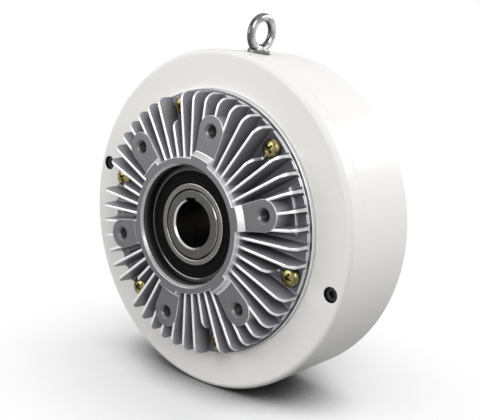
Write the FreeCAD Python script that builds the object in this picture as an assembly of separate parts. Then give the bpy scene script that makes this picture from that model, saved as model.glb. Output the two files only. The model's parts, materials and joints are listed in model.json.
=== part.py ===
import FreeCAD, Part
import math
import os

# Hollow-shaft magnetic powder brake: a round steel yoke with a coil inside, two finned
# aluminium end brackets, and a drum on a keyed hollow shaft that turns in two ball bearings.
# Frame: millimetres, shaft axis along Y, front towards -Y, +Z up as the brake stands on its rim.
# The origin is on the shaft axis, in the plane of the six front mounting tabs.
# Angles are seen from the front, counter-clockwise from +X.

# Housing (two painted steel yokes), from the powder gap outwards
POLE_R = 67.5                # bore of the pole rings, outside the powder gap
POLE_WALL = 9.5              # pole bore to the inside of the coil chamber
CHAMBER_DEPTH = 17.0         # coil chamber, inside to outside
SIDE_WALL = 15.5             # coil chamber to the outer surface
HOUSING_WIDTH = 64.0         # white front face to white rear face
TAB_PROUD = 19.0             # tab face in front of the white face
FRONT_EDGE_R = 3.5           # rounded rim of the front yoke
REAR_EDGE_R = 3.0            # rounded rim of the rear yoke
SEAM_DEPTH = 12.7            # front face to the seam between the yokes
SEAM_CHAMFER = 0.4
RECESS_DEPTH = 5.0           # counterbore that takes a bracket flange
END_WALL = 14.0              # yoke wall between flange seat and coil chamber
ISOLATING_WIDTH = 12.0       # non-magnetic ring between the two poles
SPIGOT_CLEARANCE = 0.05

# Coil
COIL_CLEARANCE = 0.2
BOBBIN_WALL = 1.8
WINDING_CLEARANCE = 0.1
WINDING_INSET = 1.35         # wound wire inside the rim of the bobbin

# Finned bracket casting (front and rear are the same casting)
FLANGE_LAP = 17.3            # flange rim beyond the pole bore
FLANGE_CLEARANCE = 0.2       # flange rim to the recess wall
FLANGE_THICKNESS = 9.5       # fin floor to flange seat
RIM_WIDTH = 2.2              # lower step round the flange
RIM_DROP = 1.8
PILOT_LENGTH = 5.5           # pilot that centres the bracket in the pole bore
PILOT_CLEARANCE = 0.05
PILOT_WALL = 5.5
WEB_THICKNESS = 7.5          # floor behind the fins, between hub and pilot
HUB_MOUTH_CLEARANCE = 0.2    # bore in front of the bearing, round its outer ring
HUB_MOUTH_CHAMFER = 1.5
HUB_WALL = 5.3               # round that bore
HUB_PROUD = 3.6              # hub face in front of the tab face
HUB_EDGE = 0.5
BOSS_WALL = 7.0              # inner boss round the powder seal
SHOULDER_HEIGHT = 9.0        # shoulder behind the bearing, inwards from its seat
SHOULDER_WIDTH = 3.0

# Cooling fins
FINS_PER_TAB = 8
FIN_SETBACK = 0.6            # fin crests behind the tab face
FIN_CREST = 1.8              # thickness at the crest
FIN_FOOT = 2.6               # thickness at the floor
FIN_END_INSET = 1.4          # outer end of the long fins inside the flange rim
FIN_CORNER_R = 6.0
SHORT_FIN_GAP = 9.5          # end of the short fins to the screw circle
HEEL_LENGTH = 3.0            # low heel of the short fins
HEEL_HEIGHT = 2.0

# Mounting tabs
TAB_COUNT = 6
TAB_PCD_R = 62.5             # circle of the mounting holes
TAB_ANGLE = 75.0             # first tab
TAB_END_R = 9.75             # rounded end of a tab
TAB_ROOT_HALF = 7.3          # half width where a tab leaves the hub
TAB_LEDGE = 2.2              # hub face widens by this at a tab
TAB_LEDGE_SLOPE = 3.2        # and slopes down to the tab face over this
TAB_FOOT_R = 75.5            # low step round a tab
TAB_FOOT_HEIGHT = 1.6
TAB_FOOT_HALF_ANGLE = 10.8
MOUNT_HOLE_R = 3.4           # tapping drill for an 8 mm screw
MOUNT_HOLE_DEPTH = 17.0
MOUNT_HOLE_MOUTH_R = 4.3     # shallow countersink
MOUNT_HOLE_MOUTH_DEPTH = 0.45

# Bracket screws, 6 mm pan heads on spring washers
SCREW_LAP = 8.5              # screw circle beyond the pole bore
SCREW_R = 3.0
SCREW_HOLE_CLEARANCE = 0.3
THREAD_CLEARANCE = 0.05
PAN_HEAD_R = 6.0
PAN_HEAD_HEIGHT = 3.8
PAN_HEAD_SIDE = 1.2          # straight side below the dome
SCREW_REACH = 10.0           # thread in the yoke
TAPPED_SPARE = 2.0           # tapped hole past the end of its screw
WASHER_R = 5.6
WASHER_THICKNESS = 1.6
WASHER_BORE_CLEARANCE = 0.15
WASHER_SLOT = 0.9
WASHER_SLOT_SLANT = 18.0

# Yoke clamp screws, 5 mm socket heads sunk in the white face
CLAMP_EDGE = 8.5             # screw axis to the outer surface
CLAMP_ANGLES = (165.0, -15.0)
CLAMP_R = 2.5
CLAMP_HEAD_R = 4.25
CLAMP_HEAD_HEIGHT = 5.0
CLAMP_POCKET_R = 4.75
CLAMP_POCKET_DEPTH = 7.0
CLAMP_HOLE_CLEARANCE = 0.25
CLAMP_REACH = 13.0
HEX_SOCKET = 4.0             # across flats
HEX_SOCKET_DEPTH = 2.5

# Lifting eyebolt, 6 mm
EYE_ANGLE = 82.0
EYE_SETBACK = 10.3           # seam to the eyebolt axis
EYE_RING_R = 9.9             # centre line of the ring
EYE_WIRE_R = 2.6
EYE_CENTRE_HEIGHT = 12.6     # ring centre above its seat
EYE_COLLAR_R = 7.1
EYE_COLLAR_HEIGHT = 2.8
EYE_COLLAR_CHAMFER = 0.7
EYE_NECK_FOOT_R = 6.2
EYE_NECK_TOP_R = 4.3
EYE_NECK_LAP = 2.3           # neck into the ring
EYE_SHANK_R = 3.0
EYE_SHANK_LENGTH = 11.0
EYE_SEAT_MARGIN = 0.9        # spot face round the collar
EYE_SEAT_DEPTH = 0.6

# Lead grommet in the side wall, away from the lifting eye
LEAD_ANGLE = 180.0
LEAD_OFFSET = 7.0            # behind the middle plane
LEAD_HOLE_R = 4.5
LEAD_SEAT_R = 8.0
LEAD_SEAT_DEPTH = 3.0
GROMMET_FLANGE_R = 7.2
GROMMET_FLANGE = 2.2
GROMMET_BORE_R = 2.4
GROMMET_CLEARANCE = 0.1

# Ball bearings, 45 x 75 x 16 with 13 balls
BEARING_BORE_R = 22.5
BEARING_OUTER_R = 37.5
BEARING_WIDTH = 16.0
BEARING_SETBACK = 7.7        # hub face to bearing face
BALL_R = 4.366
BALL_COUNT = 13
RACE_CLEARANCE = 0.08
INNER_RING_WALL = 3.5        # bore to the shoulder of the inner ring
OUTER_RING_WALL = 3.9        # shoulder of the outer ring to its outside
RING_CHAMFER = 0.6
SEAL_LIP = 0.6               # seal into the outer ring
SEAL_SEAT_WIDTH = 1.7
SEAL_SETBACK = 0.3
SEAL_THICKNESS = 1.2
SEAL_LIP_CLEARANCE = 0.1
CAGE_WALL = 2.6
CAGE_WIDTH = 10.4
POCKET_CLEARANCE = 0.09

# Hollow shaft
SHAFT_BORE_R = 15.0
SHAFT_BORE_CHAMFER = 1.0
SHAFT_SHOULDER = 2.5         # middle of the shaft beyond the bearing bore
SHAFT_END_CHAMFER = 1.3
BORE_KEY_WIDTH = 8.0
BORE_KEY_DEPTH = 2.0         # shallow keyway for a low key
BORE_KEY_ANGLE = 96.0

# Drum, its key, its retaining rings and the powder seals
GAP = 1.5                    # powder gap between drum and poles
DRUM_WIDTH = 36.0
DRUM_RIM = 8.0
DRUM_WEB = 10.0
DRUM_HUB_WALL = 9.0
DRUM_HUB_WIDTH = 28.0
DRUM_HOLE_R = 4.5
DRUM_HOLE_COUNT = 6
DRUM_HOLE_PCD_R = 46.0
DRUM_KEY_ANGLE = 232.0
DRUM_KEY_WIDTH = 8.0
DRUM_KEY_HEIGHT = 7.0
DRUM_KEY_LENGTH = 24.0
DRUM_KEY_SEAT = 4.0
KEY_CLEARANCE = 0.2
CIRCLIP_THICKNESS = 2.0
CIRCLIP_GROOVE = 1.5
CIRCLIP_WALL = 4.6
CIRCLIP_GAP_ANGLE = 90.0
CIRCLIP_GAP_HALF_ANGLE = 14.0
CIRCLIP_EAR_TURN = 3.0       # ear centre past the end of the band
CIRCLIP_EAR_R = 2.6
CIRCLIP_EAR_HOLE_R = 1.0
FIT_CLEARANCE = 0.02
POWDER_SEAL_WALL = 8.0
POWDER_SEAL_WIDTH = 5.2
POWDER_SEAL_CLEARANCE = 0.1
SLINGER_LAP = 5.5            # slinger disc beyond the powder seal
SLINGER_DISC = 1.6
SLINGER_SLEEVE = 2.5
SLINGER_GAP = 0.8            # slinger disc to the end of the bracket boss
POWDER_CLEARANCE = 0.1
POWDER_HALF_ANGLE = 38.0
POWDER_ANGLE = -90.0

# Cuts run this far past a face, and joined shapes this far into each other
OVERRUN = 1.0

# Planes and circles worked out from the sizes above
HOUSING_FRONT = TAB_PROUD
HOUSING_REAR = HOUSING_FRONT + HOUSING_WIDTH
MIDDLE = HOUSING_FRONT + HOUSING_WIDTH / 2
SEAM = HOUSING_FRONT + SEAM_DEPTH
SEAT = HOUSING_FRONT + RECESS_DEPTH
WALL_END = SEAT + END_WALL
NOSE_END = MIDDLE - ISOLATING_WIDTH / 2
FLOOR = SEAT - FLANGE_THICKNESS
HUB_FACE = -HUB_PROUD
FIN_FRONT = FIN_SETBACK
PILOT_END = SEAT + PILOT_LENGTH
BEARING_FRONT = HUB_FACE + BEARING_SETBACK
BEARING_BACK = BEARING_FRONT + BEARING_WIDTH
BALL_Y = BEARING_FRONT + BEARING_WIDTH / 2
DRUM_R = POLE_R - GAP
POLE_OUTER_R = POLE_R + POLE_WALL
CHAMBER_R = POLE_OUTER_R + CHAMBER_DEPTH
HOUSING_R = CHAMBER_R + SIDE_WALL
BALL_PITCH_R = (BEARING_BORE_R + BEARING_OUTER_R) / 2
INNER_RING_R = BEARING_BORE_R + INNER_RING_WALL
OUTER_RING_R = BEARING_OUTER_R - OUTER_RING_WALL
SEAL_SEAT_R = OUTER_RING_R + SEAL_LIP
SHOULDER_R = BEARING_OUTER_R - SHOULDER_HEIGHT
HUB_MOUTH_R = BEARING_OUTER_R + HUB_MOUTH_CLEARANCE
HUB_R = HUB_MOUTH_R + HUB_WALL
SHAFT_MID_R = BEARING_BORE_R + SHAFT_SHOULDER
POWDER_SEAL_R = SHAFT_MID_R + POWDER_SEAL_WALL
BOSS_R = POWDER_SEAL_R + BOSS_WALL
SLINGER_R = POWDER_SEAL_R + SLINGER_LAP
DRUM_HUB_R = SHAFT_MID_R + DRUM_HUB_WALL
FIN_ROOT_R = HUB_R - 2 * OVERRUN
BOBBIN_RIM_R = CHAMBER_R - COIL_CLEARANCE - SPIGOT_CLEARANCE
FLANGE_R = POLE_R + FLANGE_LAP
FIN_END_R = FLANGE_R - FIN_END_INSET
SCREW_PCD_R = POLE_R + SCREW_LAP
SHORT_FIN_END_R = SCREW_PCD_R - SHORT_FIN_GAP
CLAMP_PCD_R = HOUSING_R - CLAMP_EDGE
EYE_Y = SEAM + EYE_SETBACK
EYE_SEAT_R = EYE_COLLAR_R + EYE_SEAT_MARGIN
LEAD_Y = MIDDLE + LEAD_OFFSET
DRUM_HUB_FRONT = MIDDLE - DRUM_HUB_WIDTH / 2
SCREW_ANGLE = TAB_ANGLE + 180.0 / TAB_COUNT
RECESS_R = FLANGE_R + FLANGE_CLEARANCE

AXIS = FreeCAD.Vector(0, 1, 0)
ORIGIN = FreeCAD.Vector(0, 0, 0)


def polar(radius, degrees, y=0.0):
    """Point at a radius and an angle round the shaft axis."""
    turn = math.radians(degrees)
    return FreeCAD.Vector(radius * math.cos(turn), y, radius * math.sin(turn))


def turned(shape, degrees):
    """Copy turned round the shaft axis, from +X towards +Z."""
    copy = shape.copy()
    copy.rotate(ORIGIN, FreeCAD.Vector(0, -1, 0), degrees)
    return copy


def mirrored(shape):
    """Rear copy of a front piece."""
    return shape.mirror(FreeCAD.Vector(0, MIDDLE, 0), AXIS)


def face_of(points):
    """Face in the XY plane from (radius, y) points."""
    corners = [FreeCAD.Vector(x, y, 0) for x, y in points]
    return Part.Face(Part.makePolygon(corners + corners[:1]))


def revolved(points, degrees=360.0):
    """Solid of revolution round the shaft axis."""
    solid = face_of(points).revolve(ORIGIN, FreeCAD.Vector(0, -1, 0), degrees)
    return solid


def ring(inner, outer, y_start, y_end):
    return revolved([(inner, y_start), (outer, y_start), (outer, y_end), (inner, y_end)])


def sector(inner, outer, y_start, y_end, start, end):
    """Part of a ring between two angles."""
    profile = [(inner, y_start), (outer, y_start), (outer, y_end), (inner, y_end)]
    return turned(revolved(profile, end - start), start)


def rod(radius, y_start, y_end, centre=ORIGIN):
    """Cylinder parallel to the shaft axis."""
    base = FreeCAD.Vector(centre.x, y_start, centre.z)
    return Part.makeCylinder(radius, y_end - y_start, base, AXIS)


def cone(radius_start, radius_end, y_start, y_end, centre):
    base = FreeCAD.Vector(centre.x, y_start, centre.z)
    return Part.makeCone(radius_start, radius_end, y_end - y_start, base, AXIS)


def filleted_rims(solid, radius, y_plane, at_radius):
    """Round the circular edge at one plane and radius."""
    rims = []
    for edge in solid.Edges:
        curve = edge.Curve
        if isinstance(curve, Part.Circle):
            on_plane = abs(curve.Center.y - y_plane) < 1e-6
            if on_plane and abs(curve.Radius - at_radius) < 1e-6:
                rims.append(edge)
    return solid.makeFillet(radius, rims)


def tab_angles():
    return [TAB_ANGLE + 360.0 / TAB_COUNT * k for k in range(TAB_COUNT)]


def screw_angles():
    return [SCREW_ANGLE + 360.0 / TAB_COUNT * k for k in range(TAB_COUNT)]


def radial_hole(radius, angle, y, start_r, end_r):
    """Cylinder that points outwards from the shaft axis."""
    way = polar(1.0, angle)
    return Part.makeCylinder(radius, end_r - start_r, polar(start_r, angle, y), way)


def front_yoke():
    nose = [(POLE_R, SEAT), (RECESS_R, SEAT), (RECESS_R, HOUSING_FRONT)]
    rim = [(HOUSING_R, HOUSING_FRONT), (HOUSING_R, SEAM - SEAM_CHAMFER)]
    joint = [(HOUSING_R - SEAM_CHAMFER, SEAM), (CHAMBER_R - SPIGOT_CLEARANCE, SEAM)]
    spigot = [(CHAMBER_R - SPIGOT_CLEARANCE, WALL_END), (POLE_OUTER_R, WALL_END)]
    pole = [(POLE_OUTER_R, NOSE_END), (POLE_R, NOSE_END)]
    yoke = revolved(nose + rim + joint + spigot + pole)
    yoke = filleted_rims(yoke, FRONT_EDGE_R, HOUSING_FRONT, HOUSING_R)
    cuts = bracket_screw_holes(SEAT)
    for angle in CLAMP_ANGLES:
        centre = polar(CLAMP_PCD_R, angle)
        cuts.append(rod(CLAMP_POCKET_R, HOUSING_FRONT, HOUSING_FRONT + CLAMP_POCKET_DEPTH, centre))
        cuts.append(rod(CLAMP_R + CLAMP_HOLE_CLEARANCE, HOUSING_FRONT, SEAM, centre))
    return yoke.cut(cuts)


def bracket_screw_holes(seat):
    """Tapped holes for the six bracket screws of one yoke."""
    depth = SCREW_REACH + TAPPED_SPARE
    holes = []
    for angle in screw_angles():
        centre = polar(SCREW_PCD_R, angle)
        holes.append(rod(SCREW_R + THREAD_CLEARANCE, seat, seat + depth, centre))
    return holes


def rear_yoke():
    """Deep cup that carries the lifting eye and the lead outlet."""
    rear_seat = 2 * MIDDLE - SEAT
    rear_wall = 2 * MIDDLE - WALL_END
    rear_nose = 2 * MIDDLE - NOSE_END
    joint = [(CHAMBER_R, SEAM), (HOUSING_R - SEAM_CHAMFER, SEAM), (HOUSING_R, SEAM + SEAM_CHAMFER)]
    rim = [(HOUSING_R, HOUSING_REAR), (RECESS_R, HOUSING_REAR), (RECESS_R, rear_seat)]
    pole = [(POLE_R, rear_seat), (POLE_R, rear_nose), (POLE_OUTER_R, rear_nose)]
    yoke = revolved(joint + rim + pole + [(POLE_OUTER_R, rear_wall), (CHAMBER_R, rear_wall)])
    yoke = filleted_rims(yoke, REAR_EDGE_R, HOUSING_REAR, HOUSING_R)
    cuts = [mirrored(hole) for hole in bracket_screw_holes(SEAT)]
    for angle in CLAMP_ANGLES:
        end = SEAM + CLAMP_REACH + TAPPED_SPARE
        cuts.append(rod(CLAMP_R + THREAD_CLEARANCE, SEAM, end, polar(CLAMP_PCD_R, angle)))
    eye_seat = HOUSING_R - EYE_SEAT_DEPTH
    eye_end = eye_seat - EYE_SHANK_LENGTH - TAPPED_SPARE
    cuts.append(radial_hole(EYE_SEAT_R, EYE_ANGLE, EYE_Y, eye_seat, HOUSING_R + OVERRUN))
    cuts.append(radial_hole(EYE_SHANK_R + THREAD_CLEARANCE, EYE_ANGLE, EYE_Y, eye_end, HOUSING_R))
    lead_seat = HOUSING_R - LEAD_SEAT_DEPTH
    cuts.append(radial_hole(LEAD_SEAT_R, LEAD_ANGLE, LEAD_Y, lead_seat, HOUSING_R + OVERRUN))
    cuts.append(radial_hole(LEAD_HOLE_R, LEAD_ANGLE, LEAD_Y, CHAMBER_R - OVERRUN, HOUSING_R))
    return yoke.cut(cuts)


def coil_bobbin():
    inner = POLE_OUTER_R + COIL_CLEARANCE
    start = WALL_END + COIL_CLEARANCE
    end = 2 * MIDDLE - start
    body = ring(inner, BOBBIN_RIM_R, start, end)
    rim = BOBBIN_RIM_R + OVERRUN
    groove = ring(inner + BOBBIN_WALL, rim, start + BOBBIN_WALL, end - BOBBIN_WALL)
    return body.cut(groove)


def coil_winding():
    inner = POLE_OUTER_R + COIL_CLEARANCE + BOBBIN_WALL + WINDING_CLEARANCE
    start = WALL_END + COIL_CLEARANCE + BOBBIN_WALL + WINDING_CLEARANCE
    return ring(inner, BOBBIN_RIM_R - WINDING_INSET, start, 2 * MIDDLE - start)


def isolating_ring():
    """Non-magnetic ring that parts the two poles."""
    return ring(POLE_R, POLE_OUTER_R, NOSE_END, 2 * MIDDLE - NOSE_END)


def bracket_body():
    """Hub, floor, flange and pilot of the casting as one turned profile."""
    mouth = [(HUB_MOUTH_R, BEARING_FRONT), (HUB_MOUTH_R, HUB_FACE + HUB_MOUTH_CHAMFER),
             (HUB_MOUTH_R + HUB_MOUTH_CHAMFER, HUB_FACE)]
    hub = [(HUB_R - HUB_EDGE, HUB_FACE), (HUB_R, HUB_FACE + HUB_EDGE), (HUB_R, FLOOR)]
    rim = [(FLANGE_R - RIM_WIDTH, FLOOR), (FLANGE_R - RIM_WIDTH, FLOOR + RIM_DROP),
           (FLANGE_R, FLOOR + RIM_DROP), (FLANGE_R, SEAT)]
    pilot_r = POLE_R - PILOT_CLEARANCE
    pilot = [(pilot_r, SEAT), (pilot_r, PILOT_END), (pilot_r - PILOT_WALL, PILOT_END)]
    web = [(pilot_r - PILOT_WALL, FLOOR + WEB_THICKNESS), (BOSS_R, FLOOR + WEB_THICKNESS)]
    shoulder = BEARING_BACK + SHOULDER_WIDTH
    boss = [(BOSS_R, PILOT_END), (POWDER_SEAL_R, PILOT_END), (POWDER_SEAL_R, shoulder)]
    seat = [(SHOULDER_R, shoulder), (SHOULDER_R, BEARING_BACK), (BEARING_OUTER_R, BEARING_BACK),
            (BEARING_OUTER_R, BEARING_FRONT)]
    return revolved(mouth + hub + rim + pilot + web + boss + seat)


def fin_outline(end_r, heel_r):
    """Side view of one fin: a crest, a rounded outer corner and a low heel."""
    base = FLOOR + OVERRUN
    top = FreeCAD.Vector(end_r - FIN_CORNER_R, FIN_FRONT, 0)
    bend = FIN_CORNER_R * math.sqrt(0.5)
    middle = FreeCAD.Vector(end_r - FIN_CORNER_R + bend, FIN_FRONT + FIN_CORNER_R - bend, 0)
    side = FreeCAD.Vector(end_r, FIN_FRONT + FIN_CORNER_R, 0)
    points = [FreeCAD.Vector(end_r, base, 0)]
    if heel_r > end_r:
        heel = FLOOR - HEEL_HEIGHT
        points = [FreeCAD.Vector(end_r, heel, 0), FreeCAD.Vector(heel_r, heel, 0),
                  FreeCAD.Vector(heel_r, base, 0)]
    root = [FreeCAD.Vector(FIN_ROOT_R, base, 0), FreeCAD.Vector(FIN_ROOT_R, FIN_FRONT, 0)]
    points = [side] + points + root + [top]
    edges = [Part.LineSegment(a, b).toShape() for a, b in zip(points, points[1:])]
    edges.append(Part.Arc(top, middle, side).toShape())
    return Part.Face(Part.Wire(Part.__sortEdges__(edges)))


def fin(end_r, heel_r):
    """Cast fin along +X, thicker at the floor than at its crest."""
    base = FLOOR + OVERRUN
    corners = [(FIN_FRONT, FIN_CREST / 2), (base, FIN_FOOT / 2), (base, -FIN_FOOT / 2),
               (FIN_FRONT, -FIN_CREST / 2)]
    section = [FreeCAD.Vector(FIN_ROOT_R, y, z) for y, z in corners]
    wedge = Part.Face(Part.makePolygon(section + section[:1]))
    wedge = wedge.extrude(FreeCAD.Vector(FLANGE_R - FIN_ROOT_R, 0, 0))
    plate = fin_outline(end_r, heel_r)
    plate.translate(FreeCAD.Vector(0, 0, -FIN_FOOT))
    plate = plate.extrude(FreeCAD.Vector(0, 0, 2 * FIN_FOOT))
    return wedge.common(plate)


def tab_outline():
    """Tab seen from the front: a round end that narrows towards the hub."""
    root_r = HUB_R - OVERRUN
    away = math.hypot(TAB_PCD_R - root_r, TAB_ROOT_HALF)
    lean = math.asin(TAB_END_R / away) - math.atan2(TAB_ROOT_HALF, TAB_PCD_R - root_r)
    touch_r = TAB_PCD_R - TAB_END_R * math.sin(lean)
    touch_half = TAB_END_R * math.cos(lean)
    root_a = FreeCAD.Vector(root_r, 0, TAB_ROOT_HALF)
    root_b = FreeCAD.Vector(root_r, 0, -TAB_ROOT_HALF)
    touch_a = FreeCAD.Vector(touch_r, 0, touch_half)
    touch_b = FreeCAD.Vector(touch_r, 0, -touch_half)
    tip = FreeCAD.Vector(TAB_PCD_R + TAB_END_R, 0, 0)
    edges = [Part.LineSegment(root_b, root_a).toShape(), Part.LineSegment(root_a, touch_a).toShape(),
             Part.Arc(touch_a, tip, touch_b).toShape(), Part.LineSegment(touch_b, root_b).toShape()]
    return Part.Face(Part.Wire(edges))


def tab():
    """Mounting tab along +X; the hub face widens to a ledge behind it and slopes down to it."""
    outline = tab_outline()
    boss = outline.extrude(FreeCAD.Vector(0, FLOOR + OVERRUN, 0))
    high = outline.copy()
    high.translate(FreeCAD.Vector(0, HUB_FACE, 0))
    high = high.extrude(FreeCAD.Vector(0, HUB_PROUD + OVERRUN, 0))
    ledge_r = HUB_R + TAB_LEDGE
    sunk_r = ledge_r + TAB_LEDGE_SLOPE * (HUB_PROUD + OVERRUN) / HUB_PROUD
    ledge = high.common(cone(ledge_r, sunk_r, HUB_FACE, OVERRUN, ORIGIN))
    half = TAB_FOOT_HALF_ANGLE
    foot = sector(HUB_R, TAB_FOOT_R, FLOOR - TAB_FOOT_HEIGHT, FLOOR + OVERRUN, -half, half)
    return [boss, ledge, foot]


def front_bracket():
    """Finned casting: hub, flange, six tabs and the ring of cooling fins."""
    long_fin = fin(FIN_END_R, FIN_END_R)
    short_fin = fin(SHORT_FIN_END_R, SHORT_FIN_END_R + HEEL_LENGTH)
    pieces = []
    pitch = 360.0 / (TAB_COUNT * FINS_PER_TAB)
    for angle in tab_angles():
        for step in range(FINS_PER_TAB):
            blade = short_fin if step == FINS_PER_TAB // 2 else long_fin
            pieces.append(turned(blade, angle + pitch * step))
        pieces.extend(turned(piece, angle) for piece in tab())
    casting = bracket_body().fuse(pieces)
    cuts = [rod(HUB_MOUTH_R, HUB_FACE - OVERRUN, BEARING_FRONT)]
    for angle in tab_angles():
        centre = polar(TAB_PCD_R, angle)
        cuts.append(rod(MOUNT_HOLE_R, 0, MOUNT_HOLE_DEPTH, centre))
        cuts.append(cone(MOUNT_HOLE_MOUTH_R, MOUNT_HOLE_R, 0, MOUNT_HOLE_MOUTH_DEPTH, centre))
    for angle in screw_angles():
        centre = polar(SCREW_PCD_R, angle)
        cuts.append(rod(SCREW_R + SCREW_HOLE_CLEARANCE, FLOOR - OVERRUN, SEAT + OVERRUN, centre))
    return casting.cut(cuts).removeSplitter()


def pan_screw():
    """Pan-head screw along the shaft axis, head towards the front."""
    under = FLOOR - WASHER_THICKNESS
    side_y = under - PAN_HEAD_SIDE
    top_y = under - PAN_HEAD_HEIGHT
    end_y = SEAT + SCREW_REACH
    crown = math.sqrt(0.5)
    high = FreeCAD.Vector(0, top_y, 0)
    corner = FreeCAD.Vector(PAN_HEAD_R, side_y, 0)
    middle = FreeCAD.Vector(PAN_HEAD_R * crown, side_y + (top_y - side_y) * crown, 0)
    points = [corner, FreeCAD.Vector(PAN_HEAD_R, under, 0), FreeCAD.Vector(SCREW_R, under, 0),
              FreeCAD.Vector(SCREW_R, end_y, 0), FreeCAD.Vector(0, end_y, 0), high]
    edges = [Part.LineSegment(a, b).toShape() for a, b in zip(points, points[1:])]
    edges.append(Part.Arc(high, middle, corner).toShape())
    return Part.Face(Part.Wire(Part.__sortEdges__(edges))).revolve(ORIGIN, AXIS, 360)


def spring_washer():
    """Split ring with one slanted slot."""
    washer = ring(SCREW_R + WASHER_BORE_CLEARANCE, WASHER_R, FLOOR - WASHER_THICKNESS, FLOOR)
    corner = FreeCAD.Vector(0, FLOOR - WASHER_THICKNESS - OVERRUN, -WASHER_SLOT / 2)
    slot = Part.makeBox(WASHER_R + OVERRUN, WASHER_THICKNESS + 2 * OVERRUN, WASHER_SLOT, corner)
    slot.rotate(FreeCAD.Vector(0, FLOOR, 0), FreeCAD.Vector(1, 0, 0), WASHER_SLOT_SLANT)
    return washer.cut(slot)


def on_screw_circle(piece):
    """Six copies of a piece, one at each bracket screw."""
    copies = []
    for angle in screw_angles():
        copy = piece.copy()
        copy.translate(polar(SCREW_PCD_R, angle))
        copies.append(copy)
    return Part.makeCompound(copies)


def hexagon(across_flats, y_start, y_end):
    """Hexagonal prism along the shaft axis."""
    corner_r = across_flats / math.sqrt(3)
    points = [polar(corner_r, 60.0 * k, y_start) for k in range(6)]
    outline = Part.Face(Part.makePolygon(points + points[:1]))
    return outline.extrude(FreeCAD.Vector(0, y_end - y_start, 0))


def yoke_clamp_screws():
    seat = HOUSING_FRONT + CLAMP_POCKET_DEPTH
    top = seat - CLAMP_HEAD_HEIGHT
    head = rod(CLAMP_HEAD_R, top, seat)
    shank = rod(CLAMP_R, seat, SEAM + CLAMP_REACH)
    screw = head.fuse(shank).removeSplitter()
    screw = screw.cut(hexagon(HEX_SOCKET, top, top + HEX_SOCKET_DEPTH))
    copies = []
    for angle in CLAMP_ANGLES:
        copy = screw.copy()
        copy.translate(polar(CLAMP_PCD_R, angle))
        copies.append(copy)
    return Part.makeCompound(copies)


def eyebolt():
    """Forged ring on a collar with a screwed shank; the ring lies along the shaft axis."""
    seat = HOUSING_R - EYE_SEAT_DEPTH
    base = FreeCAD.Vector(seat, EYE_Y, 0)
    up = FreeCAD.Vector(1, 0, 0)
    collar = Part.makeCylinder(EYE_COLLAR_R, EYE_COLLAR_HEIGHT, base, up)
    rims = [edge for edge in collar.Edges if isinstance(edge.Curve, Part.Circle)]
    collar = collar.makeChamfer(EYE_COLLAR_CHAMFER, rims)
    neck_length = EYE_CENTRE_HEIGHT - EYE_RING_R + EYE_NECK_LAP
    neck = Part.makeCone(EYE_NECK_FOOT_R, EYE_NECK_TOP_R, neck_length, base, up)
    centre = base + up * EYE_CENTRE_HEIGHT
    eye = Part.makeTorus(EYE_RING_R, EYE_WIRE_R, centre, FreeCAD.Vector(0, 0, 1))
    shank = Part.makeCylinder(EYE_SHANK_R, EYE_SHANK_LENGTH, base, -up)
    bolt = eye.fuse([collar, neck, shank])
    return turned(bolt.removeSplitter(), EYE_ANGLE)


def lead_grommet():
    """Rubber bush for the coil leads, flush with the side wall."""
    seat = HOUSING_R - LEAD_SEAT_DEPTH
    sleeve = radial_hole(LEAD_HOLE_R - GROMMET_CLEARANCE, LEAD_ANGLE, LEAD_Y, CHAMBER_R, seat)
    flange = radial_hole(GROMMET_FLANGE_R, LEAD_ANGLE, LEAD_Y, seat, seat + GROMMET_FLANGE)
    bore = radial_hole(GROMMET_BORE_R, LEAD_ANGLE, LEAD_Y, CHAMBER_R - OVERRUN, HOUSING_R)
    wall = rod(CHAMBER_R, MIDDLE - HOUSING_WIDTH, MIDDLE + HOUSING_WIDTH)
    return sleeve.fuse(flange).removeSplitter().cut([bore, wall])


def race():
    """Groove that the balls run in."""
    return Part.makeTorus(BALL_PITCH_R, BALL_R + RACE_CLEARANCE, FreeCAD.Vector(0, BALL_Y, 0), AXIS)


def bearing_outer_ring():
    outer = BEARING_OUTER_R
    c = RING_CHAMFER
    front_step = BEARING_FRONT + SEAL_SEAT_WIDTH
    back_step = BEARING_BACK - SEAL_SEAT_WIDTH
    front = [(SEAL_SEAT_R, BEARING_FRONT), (outer - c, BEARING_FRONT), (outer, BEARING_FRONT + c)]
    back = [(outer, BEARING_BACK - c), (outer - c, BEARING_BACK), (SEAL_SEAT_R, BEARING_BACK)]
    inside = [(SEAL_SEAT_R, back_step), (OUTER_RING_R, back_step),
              (OUTER_RING_R, front_step), (SEAL_SEAT_R, front_step)]
    return revolved(front + back + inside).cut(race())


def bearing_inner_ring():
    bore = BEARING_BORE_R
    c = RING_CHAMFER
    front = [(bore, BEARING_FRONT + c), (bore + c, BEARING_FRONT), (INNER_RING_R, BEARING_FRONT)]
    back = [(INNER_RING_R, BEARING_BACK), (bore + c, BEARING_BACK), (bore, BEARING_BACK - c)]
    return revolved(front + back).cut(race())


def bearing_seals():
    """Two rubber seal rings that sit in the outer ring and stop just short of the inner one."""
    inner = INNER_RING_R + SEAL_LIP_CLEARANCE
    start = BEARING_FRONT + SEAL_SETBACK
    end = BEARING_BACK - SEAL_SETBACK
    near = ring(inner, SEAL_SEAT_R, start, start + SEAL_THICKNESS)
    far = ring(inner, SEAL_SEAT_R, end - SEAL_THICKNESS, end)
    return Part.makeCompound([near, far])


def ball_angles():
    return [360.0 / BALL_COUNT * k for k in range(BALL_COUNT)]


def bearing_balls():
    centres = [polar(BALL_PITCH_R, angle, BALL_Y) for angle in ball_angles()]
    return Part.makeCompound([Part.makeSphere(BALL_R, centre) for centre in centres])


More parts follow.
